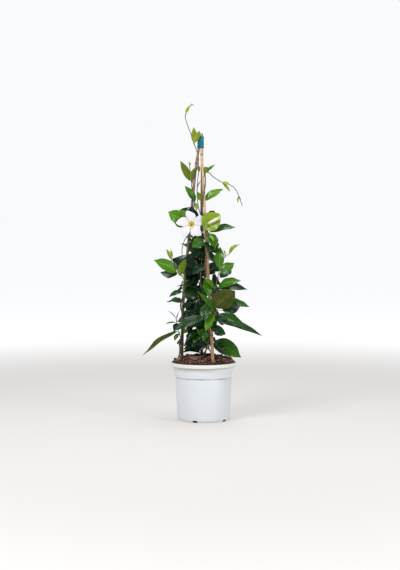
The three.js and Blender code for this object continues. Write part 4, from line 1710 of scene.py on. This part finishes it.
@dataclass(frozen=True)
class InnerFoliage:
    """The old, dark leaves that fill the space between the canes.

    Attributes:
        vine: The vine that bears them.
        canes: The canes that they stand between.
        count: How many there are.
        lowest: Height of the lowest.
        highest: Height of the highest.
        open_front: Height above which none stands at the front.
        half: Least and greatest half length.
        width: Least and greatest width.
        roll: Least and greatest roll, in degrees.
        slim: Size of the highest as a share of the lowest's.
        seed: Where their chance starts.
    """

    vine: Vine
    canes: tuple[BambooCane, ...]
    count: int = 64
    lowest: float = 182.0
    highest: float = 476.0
    open_front: float = 330.0
    half: tuple[float, float] = (17.0, 22.0)
    width: tuple[float, float] = (30.0, 38.0)
    roll: tuple[float, float] = (55.0, 78.0)
    slim: float = 0.75
    seed: int = 5

    GOLDEN_TURN = math.radians(137.5)

    def leaves(self) -> list[Leaf]:
        """Works out the leaves, which turn round the middle as they rise.

        Returns:
            The leaves.
        """
        rng, found = random.Random(self.seed), []
        for n in range(self.count):
            share = (n + 0.5) / self.count
            z = mixed(self.lowest, self.highest, share)
            middle = sum((cane.centre(z) for cane in self.canes), Vector()) / len(self.canes)
            spread = (self.canes[0].centre(z) - middle).xy.length
            angle = n * self.GOLDEN_TURN
            out = polar(1.0, angle)
            if out.y < -0.4 and z > self.open_front:
                continue
            aside = Vector((-out.y, out.x, -rng.uniform(0.0, 0.35)))
            half = rng.uniform(*self.half) * mixed(1.0, self.slim, share)
            reach = rng.uniform(0.32, mixed(0.6, 0.95, abs(out.y)))
            depth = Vector((0.0, rng.uniform(-0.55, 0.55) * spread * abs(out.x), 0.0))
            centre = middle.xy.to_3d() + out * spread * reach + depth + UP * z
            width, roll = rng.uniform(*self.width) * mixed(1.0, self.slim, share), rng.uniform(*self.roll)
            ends = tuple(centre - aside * half), tuple(centre + aside * half)
            found.append(Leaf(*ends, width, roll, rng.uniform(0.85, 1.0)))
        return found

    def build(self) -> None:
        """Builds the leaves as one piece."""
        shape = Shape("inner_foliage")
        self.vine.clothe(shape, self.leaves())
        seat(shape.finish(*foliage_finishes()), "foliage_dark")


@dataclass(frozen=True)
class Lobe:
    """One lobe of the flower: its angle in degrees and how far it reaches."""

    angle: float
    reach: float


@dataclass(frozen=True)
class Flower:
    """The open flower: a narrow tube, a funnel, five swept lobes and a golden throat."""

    centre: Point = (-31.0, -39.0, 506.0)
    facing: Point = (0.03, -0.97, 0.22)
    tube: float = 35.0
    mouth: float = 8.2
    lobe_wide: float = 14.5
    lobe_narrow: float = 10.0
    lobe_sweep: float = 7.0
    thickness: float = 0.3
    lobes: tuple[Lobe, ...] = (
        Lobe(97.0, 36.5),
        Lobe(165.0, 39.5),
        Lobe(227.0, 38.5),
        Lobe(298.0, 38.0),
        Lobe(24.0, 34.0),
    )
    finish: PetalFinish = PetalFinish(
        name="petal_white",
        blade=(0.73, 0.71, 0.74),
        # grey-lilac painted shade in the fold lines and soft patches
        shaded=(0.50, 0.46, 0.51),
        foot=(0.86, 0.76, 0.42),
        foot_end=0.2,
        tip=(0.66, 0.60, 0.64),
    )
    lining: ThroatFinish = ThroatFinish()

    def placed(self, point: Vector) -> Vector:
        """Moves a point drawn with the flower facing +Z to its place in the plant."""
        turn = Vector((0.0, -1.0, 0.0)).rotation_difference(Vector(self.facing).normalized())
        return turn @ Vector((point.x, -point.z, point.y)) + Vector(self.centre)

    def lobe_point(self, lobe: Lobe, s: float, t: float, over: float) -> Vector:
        """A point on a lobe.

        Args:
            lobe: The lobe.
            s: From -1 at its broad edge to 1 at its narrow edge.
            t: From 0 at the throat to 1 at the tip.
            over: 1 on the front and -1 on the back.

        Returns:
            The point in the plant.
        """
        swell = max(0.06, math.sin(math.pi * (0.12 + 0.88 * t) ** 1.15)) ** 0.7 if t < 1.0 else 0.06
        side = (self.lobe_wide if s < 0 else self.lobe_narrow) * swell * s
        seed = math.radians(lobe.angle)
        ruffle = 0.9 * abs(s) ** 3 * t * math.sin(7.0 * t + 3.0 * s + seed)
        crease = 0.8 * math.exp(-((s / 0.12) ** 2)) * (1 - t) * -0.5
        fold = 0.35 * math.cos(9.0 * s + seed) * t * (1.0 - t) * 4.0 + crease
        lift = 0.1 * side + 5.0 * math.sin(math.pi * t * 0.62) - 3.5 * t * t - 1.1 * max(0.0, -s) ** 3 * t
        rise = lift + ruffle + fold + over * self.thickness * (1.0 - abs(s) ** 8)
        spot = Vector((mixed(self.mouth - 0.9, lobe.reach, t), side + self.lobe_sweep * t * t, rise))
        spot.rotate(Quaternion(UP, seed))
        return self.placed(spot)

    def round_form(self, shape: Shape, profile: Sequence[tuple[float, float]], pleat: float) -> None:
        """Adds a form turned round the flower's axis, with five soft pleats.

        Args:
            shape: The piece that takes it.
            profile: Radius and height of its section, from axis to axis.
            pleat: How deep the pleats are, as a share of the radius.
        """
        line = SmoothLine([(radius, 0.0, z) for radius, z in profile]).spaced(0.8)
        last = len(line) - 1
        line[0].x = line[last].x = 0.0

        def place(across: float, along: float) -> Vector:
            """The point on the form.

            Args:
                across: Share round.
                along: Share along.

            Returns:
                The point in the plant.
            """
            spot, angle = line[round(along * last)], across * TURN
            reach = spot.x * (1.0 + pleat * math.cos(5.0 * angle) * smooth_step(-24.0, 0.0, spot.z))
            return self.placed(polar(reach, angle, spot.z))

        shape.sheet(60, last, place)

    def build(self) -> None:
        """Builds the white flower and its throat."""
        self.build_corolla()
        self.build_throat()

    def build_corolla(self) -> None:
        """Builds the funnel and the lobes."""
        shape, tube, mouth = Shape("flower_petals"), self.tube, self.mouth
        funnel = [
            (0.0, -tube),
            (1.9, -tube),
            (2.3, -tube + 12),
            (4.4, -tube + 19),
            (mouth - 1, -8.0),
            (mouth + 0.6, 0.0),
            (mouth + 1.6, 2.2),
            (mouth - 0.2, 1.4),
            (mouth - 1.6, -8.0),
            (3.4, -tube + 20),
            (0.0, -tube + 18),
        ]
        self.round_form(shape, funnel, 0.03)
        for lobe in self.lobes:
            shape.blade(44, 26, partial(self.lobe_point, lobe))
        seat(shape.finish(self.finish.material()), "petal", "flower_corolla")

    def build_throat(self) -> None:
        """Builds the golden lining inside the funnel."""
        tube, mouth = self.tube, self.mouth
        cup = [
            (0.0, -tube + 18.6),
            (2.4, -tube + 20.6),
            (mouth - 2.6, -8.0),
            (mouth - 1.6, -1.2),
            (mouth - 2.4, -1.2),
            (mouth - 3.4, -8.0),
            (1.7, -tube + 21.2),
            (0.0, -tube + 19.4),
        ]
        shape = Shape("golden_throat")
        self.round_form(shape, cup, 0.05)
        seat(shape.finish(self.lining.material()), "throat", "flower_throat")


@dataclass(frozen=True)
class Bud:
    """The rolled bud, five petals twisted round each other."""

    base: Point = (6.0, -53.0, 506.0)
    tip: Point = (42.0, -62.0, 524.0)
    radius: float = 4.2
    twist: float = 150.0
    finish: PetalFinish = PetalFinish(
        name="bud_petal",
        blade=(0.82, 0.72, 0.58),
        # pink tinge with painted shade in the fold lines and soft patches
        shaded=(0.70, 0.46, 0.38),
        foot=(0.60, 0.60, 0.30),
        foot_end=0.25,
        tip=(0.86, 0.80, 0.58),
    )

    SIDES = 60
    ROWS = 44

    def build(self) -> None:
        """Builds the bud."""
        start, end = Vector(self.base), Vector(self.tip)
        turn = UP.rotation_difference((end - start).normalized())
        length = (end - start).length

        def place(across: float, along: float) -> Vector:
            """The point on the rolled petals, each of which laps over the next.

            Args:
                across: Share round.
                along: Share along.

            Returns:
                The point.
            """
            swell = max(0.12, math.sin(math.pi * (0.06 + 0.9 * along) ** 1.1)) ** 1.3
            angle = across * TURN + math.radians(self.twist) * along
            lap = (across * 5.0) % 1.0
            reach = self.radius * swell * (0.80 + 0.20 * lap * lap)
            if along in (0.0, 1.0):
                reach = 0.0
            return start + turn @ polar(reach, angle, length * along)

        shape = Shape("rolled_bud")
        shape.sheet(self.SIDES, self.ROWS, place)
        seat(shape.finish(self.finish.material()), "bud", "flower_bud")


LEAF_TOP = LeafFinish(
    name="leaf_upper",
    ages=(
        (0.00, (0.360, 0.430, 0.024)),
        (0.15, (0.230, 0.330, 0.012)),
        (0.35, (0.066, 0.205, 0.003)),
        (0.60, (0.026, 0.115, 0.003)),
        (0.80, (0.008, 0.042, 0.006)),
        (1.00, (0.003, 0.017, 0.006)),
    ),
    gloss=0.20,
    vein=(0.44, 0.58, 0.12),
    vein_share=0.75,
    pillow=0.0016,
    shine=0.34,
)
LEAF_UNDER = LeafFinish(
    name="leaf_under",
    ages=(
        (0.00, (0.320, 0.390, 0.040)),
        (0.25, (0.120, 0.210, 0.008)),
        (0.45, (0.110, 0.150, 0.010)),
        (0.62, (0.046, 0.064, 0.004)),
        (1.00, (0.030, 0.050, 0.014)),
    ),
    gloss=0.45,
    vein=(0.28, 0.31, 0.08),
    vein_share=0.7,
    pillow=0.0007,
    shine=0.2,
)


@cache
def foliage_finishes() -> tuple[Material, ...]:
    """The vines' materials in the order of their slots, made once."""
    return StemFinish().material(), LEAF_TOP.material(), LEAF_UNDER.material()


CANES = {
    "left": Cane(
        slot="cane_dark",
        finish=CaneFinish(
            name="bamboo_dark",
            bands=(
                (0.00, (0.075, 0.042, 0.028)),
                (0.26, (0.085, 0.055, 0.032)),
                (0.30, (0.240, 0.260, 0.060)),
                (0.37, (0.220, 0.230, 0.055)),
                (0.44, (0.300, 0.170, 0.080)),
                (0.53, (0.220, 0.115, 0.060)),
                (0.60, (0.310, 0.170, 0.095)),
                (0.66, (0.480, 0.270, 0.140)),
                (0.75, (0.560, 0.330, 0.180)),
            ),
            scar=(0.030, 0.016, 0.012),
        ),
        joints=(196.0, 330.0, 452.0, 566.0, 662.0),
        centre=(
            (-54, 14, 20), (-56.5, 16, 160), (-55.4, 16, 218), (-51.8, 15, 323), (-41.7, 12, 434),
            (-29.4, 7, 558), (-22.9, 4, 625), (-18.2, 2, 668), (-12.4, 0.9, 702), (-11.6, 0.8, 738),
        ),
    ),
    "front": Cane(
        slot="cane_tan",
        finish=CaneFinish(
            name="bamboo_tan",
            bands=(
                (0.00, (0.500, 0.280, 0.125)),
                (0.26, (0.460, 0.250, 0.115)),
                (0.36, (0.360, 0.180, 0.085)),
                (0.46, (0.430, 0.230, 0.120)),
                (0.50, (0.640, 0.410, 0.230)),
                (0.75, (0.700, 0.460, 0.250)),
            ),
            scar=(0.120, 0.065, 0.060),
        ),
        joints=(224.0, 352.0, 470.0, 588.0, 684.0),
        centre=(
            (24, -53, 20), (23.4, -58, 146), (17.5, -57, 260), (10, -47, 400),
            (3.7, -31, 520), (-1.5, -16, 620), (-5.9, -5.3, 702), (-6.6, -4.7, 739),
        ),
    ),
    "back": Cane(
        slot="cane_brown",
        finish=CaneFinish(
            name="bamboo_brown",
            bands=(
                (0.00, (0.130, 0.070, 0.040)),
                (0.50, (0.170, 0.088, 0.050)),
                (0.62, (0.260, 0.145, 0.085)),
                (0.75, (0.420, 0.260, 0.160)),
            ),
            scar=(0.045, 0.025, 0.020),
        ),
        joints=(210.0, 338.0, 448.0, 560.0, 670.0),
        centre=(
            (-5, 55, 20), (-5, 61, 150), (-6.5, 59, 300), (-6, 44, 450),
            (-5, 27, 560), (-4.4, 13, 640), (-4.4, 3.4, 702), (-4.4, 2.9, 737),
        ),
    ),
}

LEFT_LEAVES = (
    # growing tip above the tie
    Leaf((-26, -9, 715), (-25, -16, 754), 15, -20, 0.15),
    Leaf((-23, -12, 714), (-10, -20, 744), 15, -45, 0.15),
    Leaf((-44, -10, 791), (-34, -16, 809), 9, 90, 0.1),
    Leaf((-45, -9, 789), (-45, -4, 800), 4, 0, 0.1),
    Leaf((-33, -12, 809), (-32, -12, 817), 2.5, 0, 0.08),
    # below the tie
    Leaf((-35, 2, 617), (-60, -10, 668), 19, 55, 0.4),
    Leaf((-33, -3, 617), (-21, -14, 652), 14, -20, 0.3),
    Leaf((-36, 3, 655), (-38, 0, 667), 5, 0, 0.1),
    Leaf((-36, 4, 653), (-33, 8, 664), 5, 0, 0.1),
    Leaf((-22, -4, 564), (-49, -6, 604), 21, -60, 0.52),
    Leaf((-19, 6, 560), (-18, -6, 539), 8, 0, 0.2),
    # behind the flower
    Leaf((-40, -10, 501), (-91, -18, 537), 49, -64, 0.35, 0.1),
    Leaf((-12, -2, 519), (-71, -3, 536), 45, -68, 1.0, 0.06),
    Leaf((-43, 0, 474), (-38, -12, 462), 7, -30, 0.5),
    Leaf((-34, -2, 478), (-27, -12, 468), 6, 30, 0.45),
    # the left side shoot
    Leaf((-70, -22, 384), (-128, -42, 415), 36, -60, 0.4, 0.06),
    Leaf((-68, -12, 378), (-112, 2, 382), 30, -45, 0.85, -0.1),
    Leaf((-62, -24, 374), (-45, -42, 418), 20, -30, 0.3, 0.1),
    Leaf((-44, -24, 358), (-62, -30, 381), 9, -30, 0.2),
    Leaf((-84, -15, 416), (-96, -20, 443), 9, 50, 0.12),
    Leaf((-83, -14, 416), (-85, -8, 442), 8, 20, 0.12),
    Leaf((-56, 6, 332), (-90, -12, 318), 15, -42, 0.7, 0.14),
    # the low left side shoot
    Leaf((-71, -3, 261), (-92, -12, 283), 7, -30, 0.5),
    Leaf((-69, -5, 261), (-61, -16, 284), 7, 30, 0.5),
    Leaf((-72, -3, 252), (-99, -14, 249), 9, -20, 0.6),
    Leaf((-66, -4, 250), (-76, -24, 230), 18, -20, 0.85),
    Leaf((-68, 10, 228), (-158, -4, 167), 28, 35, 0.5, 0.06),
    Leaf((-59, 6, 226), (-36, 0, 228), 16, 40, 0.55),
    Leaf((-65, 13, 222), (-76, 6, 204), 14, -20, 0.5),
    # towards the back
    Leaf((-60, 26, 302), (-96, 62, 300), 32, -20, 0.75, 0.12),
    Leaf((-48, 26, 392), (-78, 62, 400), 32, -20, 0.8, 0.12),
    Leaf((-40, 20, 444), (-56, 62, 452), 26, 0, 0.65, 0.12),
    # facing the left side
    Leaf((-58, 26, 266), (-54, 64, 254), 32, -65, 0.85),
    Leaf((-56, 24, 338), (-58, 62, 346), 32, -65, 0.9),
    Leaf((-48, -10, 262), (-40, -48, 258), 30, 65, 0.8),
    Leaf((-34, 18, 492), (-38, 50, 504), 26, -65, 0.6),
    Leaf((-60, 22, 210), (-58, 58, 196), 30, -65, 0.9),
)

FRONT_LEAVES = (
    # the long thin shoot at the top right
    Leaf((-1, -3, 640), (13, 3, 650), 17, 70, 0.22),
    Leaf((7, -11, 638), (30, -5, 658), 12, 30, 0.5),
    Leaf((49, -28, 612), (66, -36, 608), 8, 70, 0.15),
    Leaf((48, -27, 611), (67, -26, 588), 9, 60, 0.15),
    Leaf((89, -39, 578), (87, -44, 560), 7, 30, 0.15),
    Leaf((90, -38, 577), (94, -34, 564), 4, 30, 0.15),
    # upper pairs
    Leaf((1, -16, 566), (51, -14, 596), 24, 50, 0.32),
    Leaf((-7, -26, 565), (-16, -36, 589), 13, 46, 0.25),
    Leaf((0, -43, 497), (42, -47, 531), 50, 80, 0.19, 0.02),
    Leaf((16, -25, 486), (82, -30, 498), 26, 42, 0.7, 0.1),
    Leaf((9, -22, 508), (28, 22, 541), 26, 40, 0.95),
    Leaf((14, -38, 483), (29, -58, 444), 30, 10, 0.6),
    Leaf((14, -50, 478), (27, -60, 462), 9, 20, 0.2),
    Leaf((0, -44, 464), (-30, -58, 448), 30, -60, 0.62),
    Leaf((24, -52, 440), (-13, -62, 460), 24, -40, 0.78, 0.05),
    Leaf((26, -44, 440), (40, -54, 456), 14, 80, 0.6),
    # the right side shoot
    Leaf((40, -46, 394), (42, -34, 449), 25, 0, 0.5, 0.05),
    Leaf((43, -50, 382), (78, -46, 408), 28, 60, 0.52, 0.05),
    Leaf((42, -44, 370), (72, -20, 388), 26, 30, 0.9),
    Leaf((65, -45, 432), (83, -48, 456), 12, 60, 0.15),
    Leaf((73, -46, 442), (92, -50, 456), 6, 60, 0.15),
    Leaf((54, -45, 422), (50, -48, 444), 6, 0, 0.15),
    Leaf((37, -54, 346), (95, -66, 364), 30, 45, 0.55, 0.1),
    Leaf((38, -46, 342), (112, -32, 338), 28, 42, 0.9, 0.12),
    Leaf((28, -60, 342), (0, -76, 371), 18, -60, 0.45),
    Leaf((2, -62, 364), (17, -70, 320), 24, 30, 0.5, 0.02),
    # the low front cluster
    Leaf((27, -72, 296), (78, -104, 340), 54, -58, 0.6, 0.04),
    Leaf((48, -60, 288), (92, -50, 298), 38, 60, 0.9),
    Leaf((48, -32, 306), (118, -24, 294), 26, 48, 0.65, 0.1),
    Leaf((38, -68, 278), (106, -80, 241), 32, 42, 0.75, 0.1),
    Leaf((30, -62, 262), (149, -60, 222), 30, 34, 0.78, 0.07),
    Leaf((27, -76, 284), (-18, -98, 340), 24, -50, 0.6, 0.05),
    Leaf((8, -70, 305), (3, -92, 262), 28, 0, 0.75),
    Leaf((25, -74, 281), (5, -88, 236), 27, -20, 0.35, 0.04),
    Leaf((2, -66, 272), (-78, -92, 236), 30, -38, 0.8),
    Leaf((17, -66, 245), (56, -74, 229), 24, 50, 0.8),
    Leaf((14, -68, 232), (-4, -86, 212), 18, -20, 0.7),
    # facing the right side
    Leaf((30, -44, 264), (50, -6, 254), 32, 65, 0.9),
    Leaf((28, -34, 318), (48, 4, 312), 34, 65, 0.95),
    Leaf((20, -32, 392), (40, 2, 402), 30, 65, 0.85),
    Leaf((18, -26, 452), (34, 2, 468), 26, 60, 0.7),
)

BACK_LEAVES = (
    # young leaves between the canes
    Leaf((-13, -6, 638), (-13, -16, 657), 7, -20, 0.2),
    Leaf((-12, -8, 640), (-9, -24, 652), 6, 20, 0.4),
    Leaf((-16, -4, 598), (-6, -24, 618), 5, 20, 0.3),
    # large leaves in the middle
    Leaf((-14, -5, 386), (-82, -2, 416), 54, -72, 1.0, 0.04),
    Leaf((4, -2, 424), (-37, -6, 446), 42, -60, 1.0, 0.04),
    Leaf((0, 12, 376), (-32, 10, 410), 42, -64, 1.0, 0.04),
    Leaf((2, -8, 400), (-30, -38, 377), 24, -40, 0.9),
    Leaf((2, 12, 430), (26, 20, 420), 30, 50, 0.95),
    Leaf((4, 6, 396), (30, 4, 380), 36, 60, 0.95),
    Leaf((-16, -10, 341), (-70, -22, 346), 22, -8, 0.75, 0.1),
    Leaf((-14, -4, 334), (-54, -14, 318), 38, -60, 0.8),
    Leaf((0, -7, 352), (27, -18, 322), 42, 50, 0.85),
    Leaf((-14, 10, 366), (-50, 4, 352), 38, -60, 0.95),
    Leaf((-12, 2, 300), (-46, -4, 284), 38, -60, 0.95),
    Leaf((0, -2, 300), (30, -12, 284), 42, 60, 0.95),
    Leaf((-12, 6, 262), (-44, -6, 258), 34, -60, 0.9),
    Leaf((2, -6, 262), (34, -14, 250), 40, 60, 0.85),
    Leaf((-12, -10, 246), (-2, -44, 212), 26, 0, 0.55),
    Leaf((-12, -6, 236), (-48, -20, 202), 22, -35, 0.8),
    # close over the soil
    Leaf((-12, -6, 222), (-26, -22, 200), 22, -20, 0.6),
    Leaf((4, -8, 224), (5, -26, 198), 18, 0, 0.6),
    Leaf((-10, -6, 188), (-53, -16, 184), 24, -28, 0.95, 0.1),
    Leaf((-9, -2, 172), (-57, -12, 174), 20, -30, 0.95, 0.22),
    Leaf((-10, 4, 172), (-32, 16, 183), 12, -20, 0.9),
    Leaf((30, -8, 206), (96, -28, 164), 42, 62, 0.6, 0.06),
    Leaf((27, -14, 202), (56, -36, 170), 24, 40, 0.8),
    Leaf((28, -14, 226), (56, -24, 223), 22, 40, 0.85),
    # towards the back
    Leaf((-8, 70, 238), (-14, 122, 228), 30, 0, 0.8, 0.12),
    Leaf((-16, 64, 276), (-58, 82, 262), 36, -50, 0.75),
    Leaf((6, 64, 276), (46, 82, 262), 36, 50, 0.8),
    Leaf((-6, 70, 318), (2, 124, 320), 34, 0, 0.85, 0.12),
    Leaf((-16, 60, 344), (-54, 80, 330), 36, -50, 0.8),
    Leaf((4, 60, 344), (44, 80, 330), 36, 50, 0.9),
    Leaf((-4, 62, 388), (-10, 110, 398), 32, 0, 0.7, 0.12),
    Leaf((-16, 48, 420), (-48, 66, 410), 32, -50, 0.8),
    Leaf((4, 48, 420), (38, 66, 412), 32, 50, 0.75),
    Leaf((-2, 54, 462), (-8, 90, 474), 26, 0, 0.6, 0.12),
    Leaf((1, 45, 498), (-4, 70, 520), 18, 0, 0.5, 0.1),
    # facing both sides, inside the canes
    Leaf((14, 50, 262), (34, 14, 246), 32, -65, 0.9),
    Leaf((18, 46, 318), (38, 12, 306), 32, -65, 0.95),
    Leaf((22, 40, 356), (38, 4, 364), 32, -65, 0.85),
    Leaf((18, 40, 436), (38, 12, 446), 28, -65, 0.75),
    Leaf((28, 0, 232), (46, 36, 222), 32, 65, 0.95),
    Leaf((24, 2, 205), (36, 38, 190), 28, 60, 0.9),
    Leaf((-24, 50, 306), (-44, 14, 296), 32, 65, 0.9),
    Leaf((-20, 44, 376), (-40, 18, 372), 28, 65, 0.85),
    Leaf((-16, 46, 212), (-38, 22, 196), 26, 60, 0.9),
)

VINES = {
    "left": VinePlan(
        cane="left",
        slot="foliage_young",
        root=((-66, 26, 128), (-66, 26, 150), (-63, 25, 166)),
        winding=Winding(180.0, 650.0, 105.0, 180.0, 611.0),
        tip=(
            (-13, -7, 668), (-14, -9.5, 679), (-17.5, -10, 692), (-21, -9, 702), (-25, -7, 712),
            (-33, -6, 737), (-42, -8, 761), (-47, -9, 779), (-45, -10, 790),
            (-39, -11, 800), (-33, -12, 809),
        ),
        shoots=(
            (
                (-50, 8, 335), (-45, -2, 349), (-50, -11, 363), (-65, -17, 382), (-79, -16, 404),
                (-84, -15, 415),
            ),
            ((-59, 10, 208), (-63, 6, 224), (-68, 1, 242), (-71, -3, 260)),
            ((-30, 4, 612), (-34, 5, 632), (-36, 3, 655)),
            ((-33, -12, 809), (-29, -13, 811), (-26, -14, 808)),
            (
                (-38, 4, 478), (-46, -2, 470), (-53, -2, 454), (-56, 0, 437), (-55, 6, 422), (-49, 11, 410),
                (-46, 13, 404),
            ),
        ),
        stalk=((-41, 5, 432), (-40, -2, 448), (-36, -4, 476), (-32.1, -3.4, 497.7)),
        calyx=Calyx((-32.05, -5.05, 498.3), (0.03, -0.97, 0.22)),
        leaves=LEFT_LEAVES,
    ),
    "front": VinePlan(
        cane="front",
        slot="foliage",
        root=((3, -12, 128), (3, -14, 158), (5, -24, 180), (9, -38, 197), (13.5, -47, 209)),
        winding=Winding(220.0, 636.0, 150.0, 30.0, 634.0),
        tip=(
            (8, -9, 640), (14, -11, 637), (24, -16, 627), (36, -22, 619), (48, -27, 612),
            (64, -33, 607), (75, -36, 601), (83, -38, 591), (89, -39, 579), (93, -40, 566), (98, -41, 553),
        ),
        shoots=(
            (
                (19, -52, 318), (24, -52, 332), (29, -51, 344), (36, -49, 372), (43, -46, 398),
                (50, -45, 419), (65, -45, 431), (74, -46, 443),
            ),
            ((18, -64, 258), (24, -65, 268), (30, -66, 282), (34, -66, 290)),
        ),
        stalk=(
            (8, -48, 438), (5, -51, 458), (1, -52, 480), (-1, -52, 496), (1, -52, 502), (3.6, -52.4, 504.8),
        ),
        calyx=Calyx((6, -53, 506), (36, -9, 18)),
        leaves=FRONT_LEAVES,
    ),
    "back": VinePlan(
        cane="back",
        slot="foliage_dark",
        root=((-3, 14, 128), (-3, 14, 160), (-3.5, 18, 174), (-5, 30, 190), (-7, 43, 204), (-10, 52, 215)),
        winding=Winding(226.0, 500.0, 115.0, 200.0, 226.0),
        tip=(
            (-1, 27, 512), (-7, 20, 528), (-12, 15, 542), (-15, 6, 562), (-17, -1, 590), (-14, -4, 630),
            (-12, -6, 641),
        ),
        shoots=(
            (
                (-3, 16, 169), (-3, 9, 180), (-4, 1, 196), (-4, -2, 213), (-3, 2, 258), (-4, 4, 300),
                (-7, 0, 340), (-8, -3, 380), (-5, 4, 424), (-8, 10, 452), (-10, 8, 476),
            ),
            ((-3, 15, 168), (6, 8, 179), (16, -2, 192), (23, -8, 208), (22, -12, 230)),
        ),
        leaves=BACK_LEAVES,
    ),
}


@dataclass(frozen=True)
class Studio:
    """A pale floor, a pale surround, soft lights and the camera."""

    camera_at: Point = (-9.5, -3600.0, 540.0)
    looks_at: Point = (-9.5, 0.0, 349.0)
    lens: float = 88.3
    frame_height: float = 36.0
    floor_half: float = 90000.0
    surround: Colour = (0.945, 0.955, 0.975)
    dusk: Colour = (0.20, 0.22, 0.25)
    floor_shade: float = 0.40
    warm: Colour = (0.95, 0.88, 0.80)
    near: float = 900.0
    far: float = 2600.0
    glow: float = 0.42
    lights: tuple[tuple[str, Point, float, float], ...] = (
        ("key", (-1000.0, -1500.0, 1800.0), 900.0, 34.0),
        ("fill", (1500.0, -1300.0, 900.0), 900.0, 15.0),
        ("top", (200.0, 300.0, 2400.0), 1400.0, 30.0),
    )

    def build(self) -> None:
        """Sets the stage."""
        self.build_floor()
        self.build_surround()
        for light in self.lights:
            self.add_light(*light)
        self.add_camera()

    def build_floor(self) -> None:
        """Builds the floor, pale and warm round the pot and white further off."""
        shape, bm = Shape("studio_floor"), Shape.fresh()
        bmesh.ops.create_grid(bm, x_segments=2, y_segments=2, size=self.floor_half)
        shape.take(bm)
        g = Graph("floor_paper")
        spot = g.add("TexCoord").outputs["Object"]
        away = g.add("VectorMath", {0: spot}, operation="LENGTH").outputs["Value"]
        far = g.ease(away, self.near * MM, self.far * MM)
        near_glow = [self.glow * part for part in self.warm]
        far_glow = [full - self.floor_shade * dim for full, dim in zip(self.surround, self.dusk)]
        g.put(g.shader.inputs["Emission Color"], g.blend(far, near_glow, far_glow))
        g.put(g.shader.inputs["Emission Strength"], 1.0)
        shade = [self.floor_shade] * 3
        shape.finish(g.finish(shade, 0.9, Specular_IOR_Level=0.0))

    def build_surround(self) -> None:
        """Sets a white backdrop that lights the plant only dimly, so that dark leaves stay dark."""
        world = bpy.data.worlds.new("pale_surround")
        world.use_nodes = True
        tree = world.node_tree
        seen = tree.nodes.new("ShaderNodeLightPath")
        mix = tree.nodes.new("ShaderNodeMix")
        mix.data_type = "RGBA"
        mix.inputs[6].default_value = (*self.dusk, 1.0)
        mix.inputs[7].default_value = (*self.surround, 1.0)
        tree.links.new(seen.outputs["Is Camera Ray"], mix.inputs[0])
        tree.links.new(mix.outputs[2], tree.nodes["Background"].inputs["Color"])
        bpy.context.scene.world = world

    def add_light(self, name: str, at: Point, size: float, power: float) -> None:
        """Adds a soft square light that looks at the plant.

        Args:
            name: The light's name.
            at: Its place.
            size: Its side.
            power: Its power in watts.
        """
        data = bpy.data.lights.new(name, "AREA")
        data.shape, data.size, data.energy = "SQUARE", size * MM, power
        light = bpy.data.objects.new(name, data)
        light.location = Vector(at) * MM
        aim = Vector(self.looks_at) - Vector(at)
        light.rotation_euler = aim.to_track_quat("-Z", "Y").to_euler()
        bpy.context.scene.collection.objects.link(light)

    def add_camera(self) -> None:
        """Adds the camera at the photograph's place."""
        data = bpy.data.cameras.new("camera")
        data.sensor_fit, data.sensor_height, data.lens = "VERTICAL", self.frame_height, self.lens
        data.clip_start, data.clip_end = 0.05, 200.0
        camera = bpy.data.objects.new("camera", data)
        camera.location = Vector(self.camera_at) * MM
        aim = Vector(self.looks_at) - Vector(self.camera_at)
        camera.rotation_euler = aim.to_track_quat("-Z", "Y").to_euler()
        bpy.context.scene.collection.objects.link(camera)
        bpy.context.scene.camera = camera
        bpy.context.scene.view_settings.view_transform = "Standard"


def main() -> None:
    """Builds the plant, piece by piece."""
    logging.basicConfig(level=logging.INFO, format="%(name)s: %(message)s")
    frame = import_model()
    log.info("the frame holds %d solids", len(frame["nodes"]))
    pot = NurseryPot()
    pot.build()
    PottingMix(pot).build()
    canes = {name: BambooCane(name, cane) for name, cane in CANES.items()}
    for cane in canes.values():
        cane.build()
    CaneTie(tuple(canes.values())).build()
    for seed, (name, plan) in enumerate(VINES.items()):
        vine = Vine(name, plan, canes[plan.cane], FIRST_SEED + seed)
        vine.build()
    InnerFoliage(vine, tuple(canes.values())).build()
    Flower().build()
    Bud().build()
    Studio().build()


if __name__ == "__main__":
    main()
